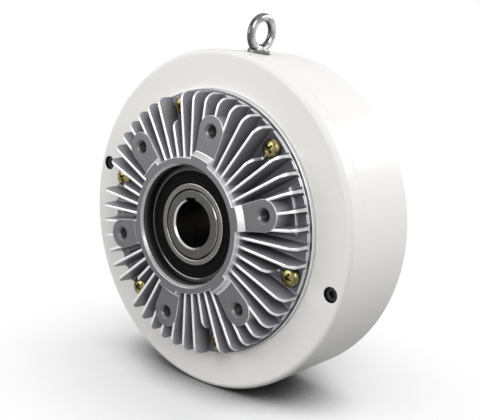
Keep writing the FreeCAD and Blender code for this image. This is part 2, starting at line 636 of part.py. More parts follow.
def bearing_cage():
    """Ring with one round pocket for each ball."""
    inner = BALL_PITCH_R - CAGE_WALL / 2
    outer = BALL_PITCH_R + CAGE_WALL / 2
    cage = ring(inner, outer, BALL_Y - CAGE_WIDTH / 2, BALL_Y + CAGE_WIDTH / 2)
    pocket_r = BALL_R + POCKET_CLEARANCE
    pockets = []
    for angle in ball_angles():
        pockets.append(radial_hole(pocket_r, angle, BALL_Y, inner - OVERRUN, outer + OVERRUN))
    return cage.cut(pockets)


def powder_seal():
    """Felt ring that keeps the powder out of the bearing."""
    start = BEARING_BACK + SHOULDER_WIDTH
    inner = SHAFT_MID_R + POWDER_SEAL_CLEARANCE
    return ring(inner, POWDER_SEAL_R, start, start + POWDER_SEAL_WIDTH)


def slinger():
    """Turned disc on the shaft that throws powder off before the seal."""
    inner = SHAFT_MID_R + FIT_CLEARANCE
    start = PILOT_END + SLINGER_GAP
    end = DRUM_HUB_FRONT - CIRCLIP_THICKNESS
    sleeve = inner + SLINGER_SLEEVE
    points = [(inner, start), (SLINGER_R, start), (SLINGER_R, start + SLINGER_DISC),
              (sleeve, start + SLINGER_DISC), (sleeve, end), (inner, end)]
    return revolved(points)


def drum_circlip():
    """Retaining ring in its shaft groove, with two eared ends."""
    inner = SHAFT_MID_R - CIRCLIP_GROOVE
    start = DRUM_HUB_FRONT - CIRCLIP_THICKNESS
    half = CIRCLIP_GAP_HALF_ANGLE
    first = CIRCLIP_GAP_ANGLE + half
    last = CIRCLIP_GAP_ANGLE + 360.0 - half
    band = sector(inner, inner + CIRCLIP_WALL, start, DRUM_HUB_FRONT, first, last)
    ear_r = SHAFT_MID_R + FIT_CLEARANCE + CIRCLIP_EAR_R
    ears = []
    holes = []
    for side in (-1, 1):
        centre = polar(ear_r, CIRCLIP_GAP_ANGLE + side * (half + CIRCLIP_EAR_TURN))
        ears.append(rod(CIRCLIP_EAR_R, start, DRUM_HUB_FRONT, centre))
        holes.append(rod(CIRCLIP_EAR_HOLE_R, start, DRUM_HUB_FRONT, centre))
    return band.fuse(ears).removeSplitter().cut(holes)


def hollow_shaft():
    start = BEARING_FRONT
    end = 2 * MIDDLE - start
    shoulder = BEARING_BACK
    c = SHAFT_END_CHAMFER
    b = SHAFT_BORE_CHAMFER
    front = [(SHAFT_BORE_R, start + b), (SHAFT_BORE_R + b, start), (BEARING_BORE_R - c, start),
             (BEARING_BORE_R, start + c), (BEARING_BORE_R, shoulder), (SHAFT_MID_R, shoulder)]
    back = [(SHAFT_MID_R, 2 * MIDDLE - shoulder), (BEARING_BORE_R, 2 * MIDDLE - shoulder),
            (BEARING_BORE_R, end - c), (BEARING_BORE_R - c, end), (SHAFT_BORE_R + b, end),
            (SHAFT_BORE_R, end - b)]
    shaft = revolved(front + back)
    groove_r = SHAFT_MID_R - CIRCLIP_GROOVE
    outside = SHAFT_MID_R + OVERRUN
    groove = ring(groove_r, outside, DRUM_HUB_FRONT - CIRCLIP_THICKNESS, DRUM_HUB_FRONT)
    corner = FreeCAD.Vector(0, start - OVERRUN, -BORE_KEY_WIDTH / 2)
    key_length = end - start + 2 * OVERRUN
    keyway = Part.makeBox(SHAFT_BORE_R + BORE_KEY_DEPTH, key_length, BORE_KEY_WIDTH, corner)
    seat = turned(key_blank(SHAFT_MID_R - DRUM_KEY_SEAT, outside), DRUM_KEY_ANGLE)
    return shaft.cut([groove, mirrored(groove), turned(keyway, BORE_KEY_ANGLE), seat])


def key_blank(inner, outer):
    """Round-ended bar along the shaft axis, between two radii on the +X side."""
    half = DRUM_KEY_WIDTH / 2
    run = DRUM_KEY_LENGTH / 2 - half
    way = FreeCAD.Vector(1, 0, 0)
    bar = Part.makeBox(outer - inner, 2 * run, 2 * half, FreeCAD.Vector(inner, MIDDLE - run, -half))
    ends = []
    for y in (MIDDLE - run, MIDDLE + run):
        ends.append(Part.makeCylinder(half, outer - inner, FreeCAD.Vector(inner, y, 0), way))
    return bar.fuse(ends).removeSplitter()


def rotor_key():
    inner = SHAFT_MID_R - DRUM_KEY_SEAT
    return turned(key_blank(inner, inner + DRUM_KEY_HEIGHT), DRUM_KEY_ANGLE)


def rotor_drum():
    """Steel drum: a thick rim for the flux, a web and a keyed hub."""
    half_hub = DRUM_HUB_WIDTH / 2
    half_web = DRUM_WEB / 2
    half_rim = DRUM_WIDTH / 2
    inner = SHAFT_MID_R + FIT_CLEARANCE
    rim_r = DRUM_R - DRUM_RIM
    right = [(inner, half_hub), (DRUM_HUB_R, half_hub), (DRUM_HUB_R, half_web), (rim_r, half_web),
             (rim_r, half_rim), (DRUM_R, half_rim)]
    outline = [(r, MIDDLE - y) for r, y in right] + [(r, MIDDLE + y) for r, y in reversed(right)]
    drum = revolved(outline)
    slot_r = SHAFT_MID_R - DRUM_KEY_SEAT + DRUM_KEY_HEIGHT + KEY_CLEARANCE
    corner = FreeCAD.Vector(0, MIDDLE - half_rim, -DRUM_KEY_WIDTH / 2)
    slot = Part.makeBox(slot_r, 2 * half_rim, DRUM_KEY_WIDTH, corner)
    cuts = [turned(slot, DRUM_KEY_ANGLE)]
    for k in range(DRUM_HOLE_COUNT):
        centre = polar(DRUM_HOLE_PCD_R, 360.0 / DRUM_HOLE_COUNT * k)
        cuts.append(rod(DRUM_HOLE_R, MIDDLE - DRUM_WEB, MIDDLE + DRUM_WEB, centre))
    return drum.cut(cuts)


def magnetic_powder():
    """Iron powder at rest in the bottom of the gap."""
    half = DRUM_WIDTH / 2
    start = POWDER_ANGLE - POWDER_HALF_ANGLE
    end = POWDER_ANGLE + POWDER_HALF_ANGLE
    return sector(DRUM_R + POWDER_CLEARANCE, POLE_R, MIDDLE - half, MIDDLE + half, start, end)


def export(name, shape):
    shape.exportStep("parts/" + name + ".step")


def main():
    os.makedirs("parts", exist_ok=True)
    export("front_yoke", front_yoke())
    export("rear_yoke", rear_yoke())
    export("coil_bobbin", coil_bobbin())
    export("coil_winding", coil_winding())
    export("isolating_ring", isolating_ring())
    export("yoke_clamp_screws", yoke_clamp_screws())
    export("eyebolt", eyebolt())
    export("lead_grommet", lead_grommet())
    export("magnetic_powder", magnetic_powder())
    export("hollow_shaft", hollow_shaft())
    export("rotor_drum", rotor_drum())
    export("rotor_key", rotor_key())
    both_ends = {
        "bracket": front_bracket(),
        "bracket_screws": on_screw_circle(pan_screw()),
        "spring_washers": on_screw_circle(spring_washer()),
        "bearing_outer_ring": bearing_outer_ring(),
        "bearing_inner_ring": bearing_inner_ring(),
        "bearing_seals": bearing_seals(),
        "bearing_balls": bearing_balls(),
        "bearing_cage": bearing_cage(),
        "powder_seal": powder_seal(),
        "slinger": slinger(),
        "drum_circlip": drum_circlip(),
    }
    for name, shape in both_ends.items():
        export("front_" + name, shape)
        export("rear_" + name, mirrored(shape))


main()
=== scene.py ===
import json
from math import asin, atan2, cos, degrees, hypot, pi, radians, sin, sqrt, tan

import bmesh
import bpy
from mathutils import Matrix, Vector

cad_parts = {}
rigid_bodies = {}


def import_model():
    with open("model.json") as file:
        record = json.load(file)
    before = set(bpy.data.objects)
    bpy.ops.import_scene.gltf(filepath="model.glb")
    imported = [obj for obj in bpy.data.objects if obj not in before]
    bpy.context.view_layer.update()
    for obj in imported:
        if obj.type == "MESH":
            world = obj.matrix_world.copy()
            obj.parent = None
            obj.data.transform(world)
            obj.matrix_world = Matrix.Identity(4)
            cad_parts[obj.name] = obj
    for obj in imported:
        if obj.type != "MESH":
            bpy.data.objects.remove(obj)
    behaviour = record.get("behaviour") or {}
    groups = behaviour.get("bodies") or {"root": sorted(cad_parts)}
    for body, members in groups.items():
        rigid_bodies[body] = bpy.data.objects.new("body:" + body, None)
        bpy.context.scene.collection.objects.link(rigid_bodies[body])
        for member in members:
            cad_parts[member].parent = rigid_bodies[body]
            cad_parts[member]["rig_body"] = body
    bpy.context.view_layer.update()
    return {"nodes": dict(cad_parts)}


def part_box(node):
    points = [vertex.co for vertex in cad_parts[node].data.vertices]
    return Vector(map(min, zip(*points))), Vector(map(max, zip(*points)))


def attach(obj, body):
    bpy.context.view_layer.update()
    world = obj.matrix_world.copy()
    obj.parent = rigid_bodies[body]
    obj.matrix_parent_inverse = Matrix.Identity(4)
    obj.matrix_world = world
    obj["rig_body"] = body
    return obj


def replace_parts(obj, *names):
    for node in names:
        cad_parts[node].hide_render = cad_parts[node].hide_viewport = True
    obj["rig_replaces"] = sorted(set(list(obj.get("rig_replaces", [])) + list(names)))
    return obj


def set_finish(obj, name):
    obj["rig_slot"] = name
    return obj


# A hollow-shaft magnetic powder brake: white painted housing, finned cast brackets, ball
# bearings in the hubs and a plated lifting eye. Sizes below are millimetres in the row frame:
# shaft axis along Y, front towards -Y, +Z up. Meshes are made in metres.
MM = 0.001
X, Y, Z = 0, 1, 2

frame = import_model()


def low(node, axis):
    """Lowest coordinate of a CAD node along an axis, in millimetres."""
    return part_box(node)[0][axis] / MM


def high(node, axis):
    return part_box(node)[1][axis] / MM


# Shared by several pieces
SMALL_ROUND = 0.3
JOINT_GAP = 0.05
OVERCUT = 1.0
SINK = 0.6

# Steps round a turned piece
HOUSING_STEPS = 256
CASTING_STEPS = 240
RING_STEPS = 160
HEAD_STEPS = 64
HOLE_STEPS = 48
SHANK_STEPS = 32

# Housing, from the frame
HOUSING_R = high("rear_yoke", X)
HOUSING_FRONT = low("front_yoke", Y)
HOUSING_REAR = high("rear_yoke", Y)
SEAM = low("rear_yoke", Y)
MIDDLE = (HOUSING_FRONT + HOUSING_REAR) / 2
FLOOR_Z = low("rear_yoke", Z)
FRONT_EDGE_R = 3.5
REAR_EDGE_R = 3.0
SEAM_SOFTNESS = 0.5
RECESS_DEPTH = 5.0
RECESS_EDGE_R = 0.3
CHAMBER_R = high("coil_bobbin", X) + 0.25
POLE_R = -low("magnetic_powder", Z)
POLE_OUTER_R = high("isolating_ring", X)
WALL_END = low("coil_bobbin", Y) - 0.2
NOSE_END = low("isolating_ring", Y)

# Bracket casting
FLANGE_R = high("front_bracket", X)
RECESS_R = FLANGE_R + 0.2
HUB_FACE = low("front_bracket", Y)
PILOT_END = high("front_bracket", Y)
SEAT = HOUSING_FRONT + RECESS_DEPTH
FLANGE_THICKNESS = 9.5
FIN_BED = SEAT - FLANGE_THICKNESS
RIM_WIDTH = 2.2
RIM_DROP = 1.8
RIM_ROUND = 0.4
WEB_THICKNESS = 7.5
WEB_FILLET = 2.0
PILOT_WALL = 5.5
BOSS_R = 40.0
FELT_SEAT_R = 33.0
SHOULDER_R = 28.5
SHOULDER_WIDTH = 3.0
HUB_R = 43.0
HUB_MOUTH_R = 37.7
MOUTH_CHAMFER = 1.5
CAST_ROUND = 0.5
CAST_FILLET = 1.3

# Cooling fins
FINS_PER_TAB = 8
FIN_FRONT = 0.6
FIN_CREST = 1.9
FIN_FOOT = 2.8
FIN_CREST_ROUND = 0.55
FIN_CORNER_R = 6.0
FIN_END_R = FLANGE_R - 1.4
FIN_END_PINCH = 0.35
FIN_END_REACH = 0.4
FIN_ROOT_R = HUB_R - 1.6
SHORT_FIN_END_R = 66.5
SHORT_FIN_HEEL_R = 69.5
HEEL_HEIGHT = 2.0

# Mounting tabs
TAB_COUNT = 6
TAB_PCD_R = 62.5
TAB_ANGLES = [75.0 + 360.0 / TAB_COUNT * k for k in range(TAB_COUNT)]
TAB_END_R = 9.75
TAB_ROOT_HALF = 7.3
TAB_EDGE_ROUND = 0.4
TAB_DRAFT = 0.03
LEDGE_R = 45.2
LEDGE_FOOT_R = 47.6
LEDGE_FLARE = 0.3
FOOT_R = 75.5
FOOT_HEIGHT = 1.6
FOOT_HALF_ANGLE = 10.8
TAP_R = 3.4
TAP_DEPTH = 17.0
TAP_MOUTH = 1.4
THREAD_PITCH = 1.25
THREAD_DEPTH = 0.55

# Bracket screws
SCREW_PCD_R = 76.0
SCREW_ANGLES = [angle + 180.0 / TAB_COUNT for angle in TAB_ANGLES]
SCREW_R = 3.0
SCREW_HOLE_R = SCREW_R + 0.3
SCREW_END = SEAT + 10.0
PAN_HEAD_R = 6.0
PAN_HEAD_HEIGHT = 3.8
PAN_HEAD_SIDE = 1.2
RECESS_ARM = 3.3
RECESS_HALF = 0.75
CROSS_DEPTH = 2.5
CROSS_TURNS = (12.0, 55.0, 33.0, 71.0, 20.0, 48.0)
WASHER_R = 5.6
WASHER_THICKNESS = 1.6
WASHER_BORE_R = 3.15
WASHER_EDGE_R = 0.25
WASHER_SLOT_ANGLE = 9.0
WASHER_SLOT_SLANT = 0.32
WASHER_STEPS = 60

# Yoke clamp screws
CLAMP_PCD_R = 101.0
CLAMP_ANGLES = (165.0, -15.0)
CLAMP_R = 2.5
CLAMP_END = SEAM + 13.0
CLAMP_HEAD_R = 4.25
CLAMP_HEAD_HEIGHT = 5.0
POCKET_R = 4.75
POCKET_DEPTH = 7.0
POCKET_ROUND = 0.5
HEX_SOCKET_R = 2.3
HEX_SOCKET_DEPTH = 2.5
HEX_MOUTH = 0.25
KNURL_COUNT = 32
KNURL_DEPTH = 0.12

# Lifting eyebolt; heights are distances from the shaft axis
EYE_ANGLE = 82.0
EYE_Y = (low("eyebolt", Y) + high("eyebolt", Y)) / 2
EYE_SEAT = HOUSING_R - 0.6
EYE_SEAT_R = 8.0
EYE_RING_R = 9.9
EYE_WIRE_R = 2.6
EYE_ROOT_GROWTH = 0.12
EYE_ROOT_SHIFT = 0.2
EYE_CENTRE = EYE_SEAT + 12.6
EYE_COLLAR_R = 7.1
EYE_COLLAR_TOP = EYE_SEAT + 2.8
EYE_NECK_FOOT_R = 6.1
EYE_NECK_TOP_R = 4.3
EYE_NECK_TOP = EYE_SEAT + 5.0
EYE_SHANK_R = 3.0
EYE_SHANK_END = EYE_SEAT - 11.0
EYE_VOXEL = 0.28

# Lead grommet
LEAD_ANGLE = 180
LEAD_Y = (low("lead_grommet", Y) + high("lead_grommet", Y)) / 2
LEAD_SEAT = HOUSING_R - 3.0
LEAD_SEAT_R = 8.0
LEAD_HOLE_R = 4.5
GROMMET_R = 7.2
GROMMET_SLEEVE_R = 4.4
GROMMET_BORE_R = 2.4
GROMMET_FLANGE = 2.2

# Bearing and shaft
BEARING_R = high("front_bearing_outer_ring", X)
BEARING_FRONT = low("front_bearing_outer_ring", Y)
BEARING_BACK = high("front_bearing_outer_ring", Y)
BEARING_BORE_R = 22.5
INNER_RING_R = 26.0
INNER_RING_ROUND = 0.5
OUTER_RING_R = 33.6
SEAL_SEAT_R = 34.2
SEAL_SEAT_CHAMFER = 0.7
SEAL_SEAT_WIDTH = 1.7
SEAL_INNER_R = 26.1
SEAL_GAP = 0.3
SEAL_THICKNESS = 1.2
RING_ROUND = 0.8
BALL_R = 4.366
BALL_GAP = 0.08
BALL_PITCH_R = 30.0
SHAFT_R = high("hollow_shaft", X)
SHAFT_BORE_R = 15.0
BORE_CHAMFER = 1.0
SHAFT_CHAMFER = 1.3
CHAMFER_STEP_R = BEARING_BORE_R - 0.8
RING_EDGE_DEPTH = 0.45
KEYWAY_WIDTH = 8.0
KEYWAY_R = SHAFT_BORE_R + 2.0
KEYWAY_ANGLE = 96.0
GROOVE_WIDTH = 2.0
GROOVE_DEPTH = 1.5
GROOVE_FRONT = low("front_drum_circlip", Y)

# Camera: azimuth, elevation and roll in degrees, and in millimetres its shift aside, upwards and
# back from the centre of the front face
CAMERA_ANGLES = (40.24, 10.61, 3.12)
CAMERA_SHIFT = (20.73, 7.59, 529.3)
CAMERA_LENS = 61.76

# Lamps: place and size in metres, power in watts
LAMPS = {
    "key": ((1.3, -0.8, 1.0), (1.2, 1.2), 23.5),
    "back": ((0.6, 0.99, 0.57), (0.8, 0.32), 7.9),
    "fill": ((-0.75, -1.1, 0.5), (1.2, 0.9), 11.8),
    "top": ((0.05, 0.05, 1.1), (1.2, 1.2), 1.8),
}
SKY_STRENGTH = 0.2

# Floor: the shadow shows in an oval pool under the object and fades to white beyond it
FLOOR_HALF = 6.0
FLOOR_DROP = 0.0001
POOL_TURN = radians(40)
POOL_SHAPE = (0.8, 1.0, 1.0)
POOL_NEAR = 0.035
POOL_FAR = 0.17
# Reach of the painted contact shadow on the floor, in metres
CONTACT_REACH = 0.05


# Mesh building

def on_axis(radius, angle, y):
    """Point at a radius and an angle round the shaft axis, seen from the front."""
    turn = radians(angle)
    return Vector((radius * cos(turn), y, radius * sin(turn)))


def quarter(steps):
    """Sine and cosine at even steps from 0 to 90 degrees."""
    turns = [radians(90 * step / steps) for step in range(steps + 1)]
    return [(sin(turn), cos(turn)) for turn in turns]


def rounded(corners, steps=4):
    """Closed outline from (a, b, radius) corners, with each corner turned into an arc."""
    points = []
    for i, (a, b, radius) in enumerate(corners):
        here = Vector((a, b))
        if radius == 0:
            points.append(here)
            continue
        before = Vector(corners[i - 1][:2]) - here
        after = Vector(corners[(i + 1) % len(corners)][:2]) - here
        half = before.angle(after) / 2
        inwards = (before.normalized() + after.normalized()).normalized()
        centre = here + inwards * (radius / sin(half))
        back = radius / tan(half)
        start = here + before.normalized() * back - centre
        end = here + after.normalized() * back - centre
        sweep = start.angle_signed(end)
        for step in range(steps + 1):
            points.append(centre + Matrix.Rotation(-sweep * step / steps, 2) @ start)
    return points


def skin(rings, loop=False):
    """Quads between closed rings of points; the first and last ring are capped or joined."""
    bm = bmesh.new()
    rows = [[bm.verts.new(p) for p in ring] for ring in rings]
    for here, there in zip(rows, rows[1:] + (rows[:1] if loop else [])):
        for j in range(len(here)):
            k = (j + 1) % len(here)
            bm.faces.new((here[j], here[k], there[k], there[j]))
    if not loop:
        bm.faces.new(rows[0][::-1])
        bm.faces.new(rows[-1])
    return bm


def lathe(profile, steps=RING_STEPS, place=None):
    """Closed (radius, y) outline turned round the shaft axis, or round the axis of place."""
    rings = []
    for k in range(steps):
        turn = 2 * pi * k / steps
        rings.append([(p[0] * cos(turn), p[1], p[0] * sin(turn)) for p in profile])
    bm = skin(rings, loop=True)
    bmesh.ops.remove_doubles(bm, verts=bm.verts, dist=1e-5)
    if place is not None:
        bm.transform(place)
    return bm


def rod(radius, start, end, steps, place=None):
    """Plain cylinder along the lathe axis."""
    return lathe([(0, start), (radius, start), (radius, end), (0, end)], steps, place)


def radial_place(angle, y):
    """Turns the lathe axis outwards at an angle round the shaft, at one y."""
    outwards = on_axis(1, angle, 0)
    along = Vector((0, 1, 0))
    turn = Matrix((outwards.cross(along), outwards, along)).transposed().to_4x4()
    return Matrix.Translation((0, y, 0)) @ turn


def spin(angle):
    """Turn round the shaft axis from +X towards +Z."""
    return Matrix.Rotation(radians(-angle), 4, "Y")


def round_shaft(angles, radius=0.0):
    """Moves out to a radius and then round the shaft axis, for copies."""
    return [(Matrix.Translation((radius, 0, 0)), spin(angle)) for angle in angles]


def copies(bm, moves):
    """Copies of a piece, each moved by its own matrices in turn; the piece goes away."""
    result = []
    for matrices in moves:
        copy = bm.copy()
        for matrix in matrices:
            copy.transform(matrix)
        result.append(copy)
    bm.free()
    return result


def kept_mesh(bm, name):
    """Mesh data from a bmesh, which goes away."""
    mesh = bpy.data.meshes.new(name)
    bm.to_mesh(mesh)
    bm.free()
    return mesh


def add_object(name, data):
    """Object for a mesh, a lamp or a camera, put in the scene."""
    thing = bpy.data.objects.new(name, data)
    bpy.context.scene.collection.objects.link(thing)
    return thing


def as_object(bm, name):
    """Object in metres from a bmesh in millimetres, with all faces turned outwards."""
    bmesh.ops.recalc_face_normals(bm, faces=bm.faces)
    bm.transform(Matrix.Scale(MM, 4))
    return add_object(name, kept_mesh(bm, name))


def taken_back(thing):
    """Bmesh in millimetres from an object, which goes away."""
    bm = bmesh.new()
    bm.from_mesh(thing.data)
    bm.transform(Matrix.Scale(1 / MM, 4))
    bpy.data.objects.remove(thing)
    return bm


def merged(parts):
    """One bmesh that holds several."""
    whole = bmesh.new()
    for part in parts:
        mesh = kept_mesh(part, "part")
        whole.from_mesh(mesh)
        bpy.data.meshes.remove(mesh)
    return whole


def apply_modifiers(thing):
    bpy.context.view_layer.update()
    graph = bpy.context.evaluated_depsgraph_get()
    result = bpy.data.meshes.new_from_object(thing.evaluated_get(graph))
    result.materials.clear()
    thing.modifiers.clear()
    thing.data = result


def boolean(thing, tools, operation):
    """Applies a boolean with several tools at once."""
    other = as_object(merged(tools), "tool")
    step = thing.modifiers.new("cut", "BOOLEAN")
    step.operation = operation
    step.solver = "MANIFOLD"
    step.object = other
    apply_modifiers(thing)
    bpy.data.objects.remove(other)


def cut(thing, *tools):
    boolean(thing, tools, "DIFFERENCE")


def join(thing, *tools):
    boolean(thing, tools, "UNION")


def keep_flat(thing):
    """Keeps flat faces flat beside their rounded edges."""
    thing.modifiers.new("flat faces", "WEIGHTED_NORMAL").keep_sharp = True


def shade(thing, sharp_angle):
    """Smooth faces with creases where the surface turns sharply."""
    bm = bmesh.new()
    bm.from_mesh(thing.data)
    bmesh.ops.remove_doubles(bm, verts=bm.verts, dist=1e-8)
    limit = radians(sharp_angle)
    for face in bm.faces:
        face.smooth = True
    for edge in bm.edges:
        edge.smooth = len(edge.link_faces) == 2 and edge.calc_face_angle(pi) < limit
    bm.to_mesh(thing.data)
    bm.free()
    keep_flat(thing)


def stand_in(thing, body, node, slot):
    """Gives a piece its body, the node it stands for and its slot."""
    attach(thing, body)
    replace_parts(thing, node)
    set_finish(thing, slot)


def dress(thing, body, node, slot, base, *finishes, sharp_angle=32.0):
    """Materials and shading of a piece, with its body, node and slot.

    Each finish is a material and a test for its faces, which takes a face's centre in
    millimetres and its normal. Where several tests pass, the last one counts.
    """
    materials = thing.data.materials
    materials.append(base)
    for material, test in finishes:
        materials.append(material)
        for face in thing.data.polygons:
            if test(face.center / MM, face.normal):
                face.material_index = len(materials) - 1
    shade(thing, sharp_angle)
    stand_in(thing, body, node, slot)
    return thing


def rear_copy(piece):
    """Mirror image of a front piece through the middle plane, in place of the rear node."""
    bm = bmesh.new()
    bm.from_mesh(piece.data)
    bm.transform(Matrix.Translation((0, 2 * MIDDLE * MM, 0)) @ Matrix.Scale(-1, 4, (0, 1, 0)))
    bmesh.ops.reverse_faces(bm, faces=bm.faces)
    name = piece.name.replace("front", "rear")
    copy = add_object(name, kept_mesh(bm, name))
    for material in piece.data.materials:
        copy.data.materials.append(material)
    keep_flat(copy)
    node = piece["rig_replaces"][0].replace("front", "rear")
    stand_in(copy, piece["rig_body"], node, piece["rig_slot"])


# Materials

class Nodes:
    """Adds to a node tree."""

    def __init__(self, tree):
        self.tree = tree

    def feed(self, node, inputs):
        """Gives inputs of a node a value each, or links them to another node's output."""
        for key, value in inputs.items():
            if isinstance(value, bpy.types.NodeSocket):
                self.tree.links.new(value, node.inputs[key])
            else:
                node.inputs[key].default_value = value

    def add(self, kind, inputs=None, **settings):
        node = self.tree.nodes.new(kind)
        for key, value in settings.items():
            setattr(node, key, value)
        self.feed(node, inputs or {})
        return node

    def calc(self, operation, *values):
        return self.add("ShaderNodeMath", dict(enumerate(values)), operation=operation).outputs[0]

    def spread(self, fac, low_in, high_in, low_out=0.0, high_out=1.0, **settings):
        inputs = {"Value": fac, "From Min": low_in, "From Max": high_in,
                  "To Min": low_out, "To Max": high_out}
        return self.add("ShaderNodeMapRange", inputs, **settings).outputs["Result"]

    def seen_directly(self):
        """1 for rays from the camera, off a gloss or through glass, and 0 for soft light."""
        path = self.add("ShaderNodeLightPath").outputs
        through = self.calc("MAXIMUM", path["Is Glossy Ray"], path["Is Transmission Ray"])
        return self.calc("MAXIMUM", path["Is Camera Ray"], through)


class Surface(Nodes):
    """A Principled surface with procedural layers over object coordinates."""

    def __init__(self, name, metallic=0.0, more=None):
        self.material = bpy.data.materials.new(name)
        self.material.use_nodes = True
        super().__init__(self.material.node_tree)
        self.shader = self.tree.nodes["Principled BSDF"]
        self.feed(self.shader, {"Metallic": metallic, **(more or {})})
        self.place = self.add("ShaderNodeTexCoord").outputs["Object"]
        self.colour = self.normal = None

    def noise(self, scale, detail=3, roughness=0.55):
        """Noise with features of about 1 / scale metres."""
        inputs = {"Vector": self.place, "Scale": scale, "Detail": detail, "Roughness": roughness}
        return self.add("ShaderNodeTexNoise", inputs).outputs["Fac"]

    def rings(self, scale, distortion):
        """Fine concentric turning marks round the shaft axis."""
        inputs = {"Vector": self.place, "Scale": scale, "Distortion": distortion, "Detail": 2.0}
        node = self.add("ShaderNodeTexWave", inputs, wave_type="RINGS", rings_direction="Y")
        return node.outputs["Fac"]

    def tint(self, fac, first, second):
        """Base colour that goes with fac from the first colour, or the tint so far, to the second."""
        inputs = {"Factor": fac, "A": (*first, 1) if first else self.colour, "B": (*second, 1)}
        self.colour = self.add("ShaderNodeMix", inputs, data_type="RGBA").outputs["Result"]
        self.feed(self.shader, {"Base Color": self.colour})

    def fleck(self, scale, start, full, strength, colour, *detail):
        self.tint(self.spread(self.noise(scale, *detail), start, full, 0.0, strength), None, colour)

    def bump(self, fac, depth):
        """Relief of about depth millimetres, on top of the relief so far."""
        node = self.add("ShaderNodeBump", {"Distance": depth * MM, "Height": fac})
        if self.normal is not None:
            self.feed(node, {"Normal": self.normal})
        self.normal = node.outputs["Normal"]
        self.feed(self.shader, {"Normal": self.normal})

    def depth_behind(self, y):
        """Distance behind a plane of the front bracket, or before that of the rear one, in mm."""
        parts = self.add("ShaderNodeSeparateXYZ", {"Vector": self.place})
        away = self.calc("ABSOLUTE", self.calc("SUBTRACT", parts.outputs["Y"], MIDDLE * MM))
        return self.calc("MULTIPLY_ADD", away, -1 / MM, MIDDLE - y)

    def off_sphere(self, point, radius):
        """Distance from a sphere round a point, in mm."""
        inputs = {0: self.place, 1: point * MM}
        distance = self.add("ShaderNodeVectorMath", inputs, operation="DISTANCE").outputs["Value"]
        off = self.calc("ABSOLUTE", self.calc("SUBTRACT", distance, radius * MM))
        return self.calc("MULTIPLY", off, 1 / MM)

    def finish(self, gloss=None, fleck=None, marks=None, grains=()):
        """Lays the other layers over the tint and gives the material.

        gloss: scale and two roughnesses. fleck: scale, noise levels where flecks start and are
        full, strength and colour. marks: scale, distortion and depth of turning marks. grains:
        scale and depth each. A noise may have its detail and roughness at the end.
        """
        if fleck:
            self.fleck(*fleck)
        if gloss:
            scale, least, most, *detail = gloss
            rough = self.spread(self.noise(scale, *detail), 0.3, 0.7, least, most)
            self.feed(self.shader, {"Roughness": rough})
        if marks:
            scale, distortion, depth = marks
            self.bump(self.rings(scale, distortion), depth)
        for scale, depth, *detail in grains:
            self.bump(self.noise(scale, *detail), depth)
        return self.material


def worked(name, metallic, mottle, *layers, levels=(0.0, 1.0), more=None, **other_layers):
    """Surface with a mottled colour, from a scale and two colours, and layers as in finish."""
    s = Surface(name, metallic, more)
    scale, first, second, *detail = mottle
    s.tint(s.spread(s.noise(scale, *detail), *levels), first, second)
    return s.finish(*layers, **other_layers)


def cast_aluminium():
    """Blasted casting, with painted shade that darkens it down between the fins and a painted highlight
    that lightens it in front.
    """
    s = Surface("cast_aluminium", 0.4)
    depth = s.depth_behind(FIN_FRONT)
    # Painted shade: darker with depth behind the fin crests, towards the bed.
    s.tint(s.spread(depth, 1.0, 13.0), (0.4, 0.4, 0.435), (0.125, 0.125, 0.145))
    s.fleck(420, 0.5, 0.75, 0.45, (0.13, 0.13, 0.145), 4, 0.7)
    # Painted highlight: lighter in front of the fin crests, on the hub wall and the crest edges.
    s.tint(s.spread(depth, -0.6, 0.9, 0.85, 0.0), None, (0.8, 0.8, 0.82))
    return s.finish((300, 0.34, 0.48, 4), grains=[(1500, 0.04, 4, 0.65), (170, 0.05, 2)])


def painted_shade_metal():
    """Inside of bores and tapped holes, darker further in as painted shade."""
    s = Surface("painted_shade_metal", 0.8)
    # Painted shade: darker from 2 to 6 mm behind the hub face.
    s.tint(s.spread(s.depth_behind(HUB_FACE), 2.0, 6.0), (0.32, 0.32, 0.33), (0.03, 0.03, 0.031))
    return s.finish((700, 0.28, 0.46), (500, 0.5, 0.7, 0.4, (0.02, 0.02, 0.021)), (700, 0.4, 0.006))


def bright_plate():
    """Plating with a painted reflection: bright along the wire of the eye and dark towards its two
    edges.
    """
    s = Surface("bright_plate", 1.0)
    # Painted reflection: dark towards the inner and outer rims of the eye's wire, bright between them.
    edge = s.spread(s.off_sphere(on_axis(EYE_CENTRE, EYE_ANGLE, EYE_Y), EYE_RING_R), 0.9, 2.5)
    s.tint(edge, (0.55, 0.55, 0.565), (0.06, 0.06, 0.066))
    return s.finish((350, 0.1, 0.2, 4), (150, 0.45, 0.62, 0.6, (0.14, 0.14, 0.146), 2),
                    grains=[(260, 0.03)])


def copper_wire():
    s = Surface("copper_wire", 0.9)
    turns = s.add("ShaderNodeTexWave", {"Vector": s.place, "Scale": 370},
                  wave_type="BANDS", bands_direction="Y").outputs["Fac"]
    s.tint(turns, (0.25, 0.09, 0.035), (0.66, 0.29, 0.12))
    s.bump(turns, 0.25)
    return s.finish((500, 0.24, 0.4))


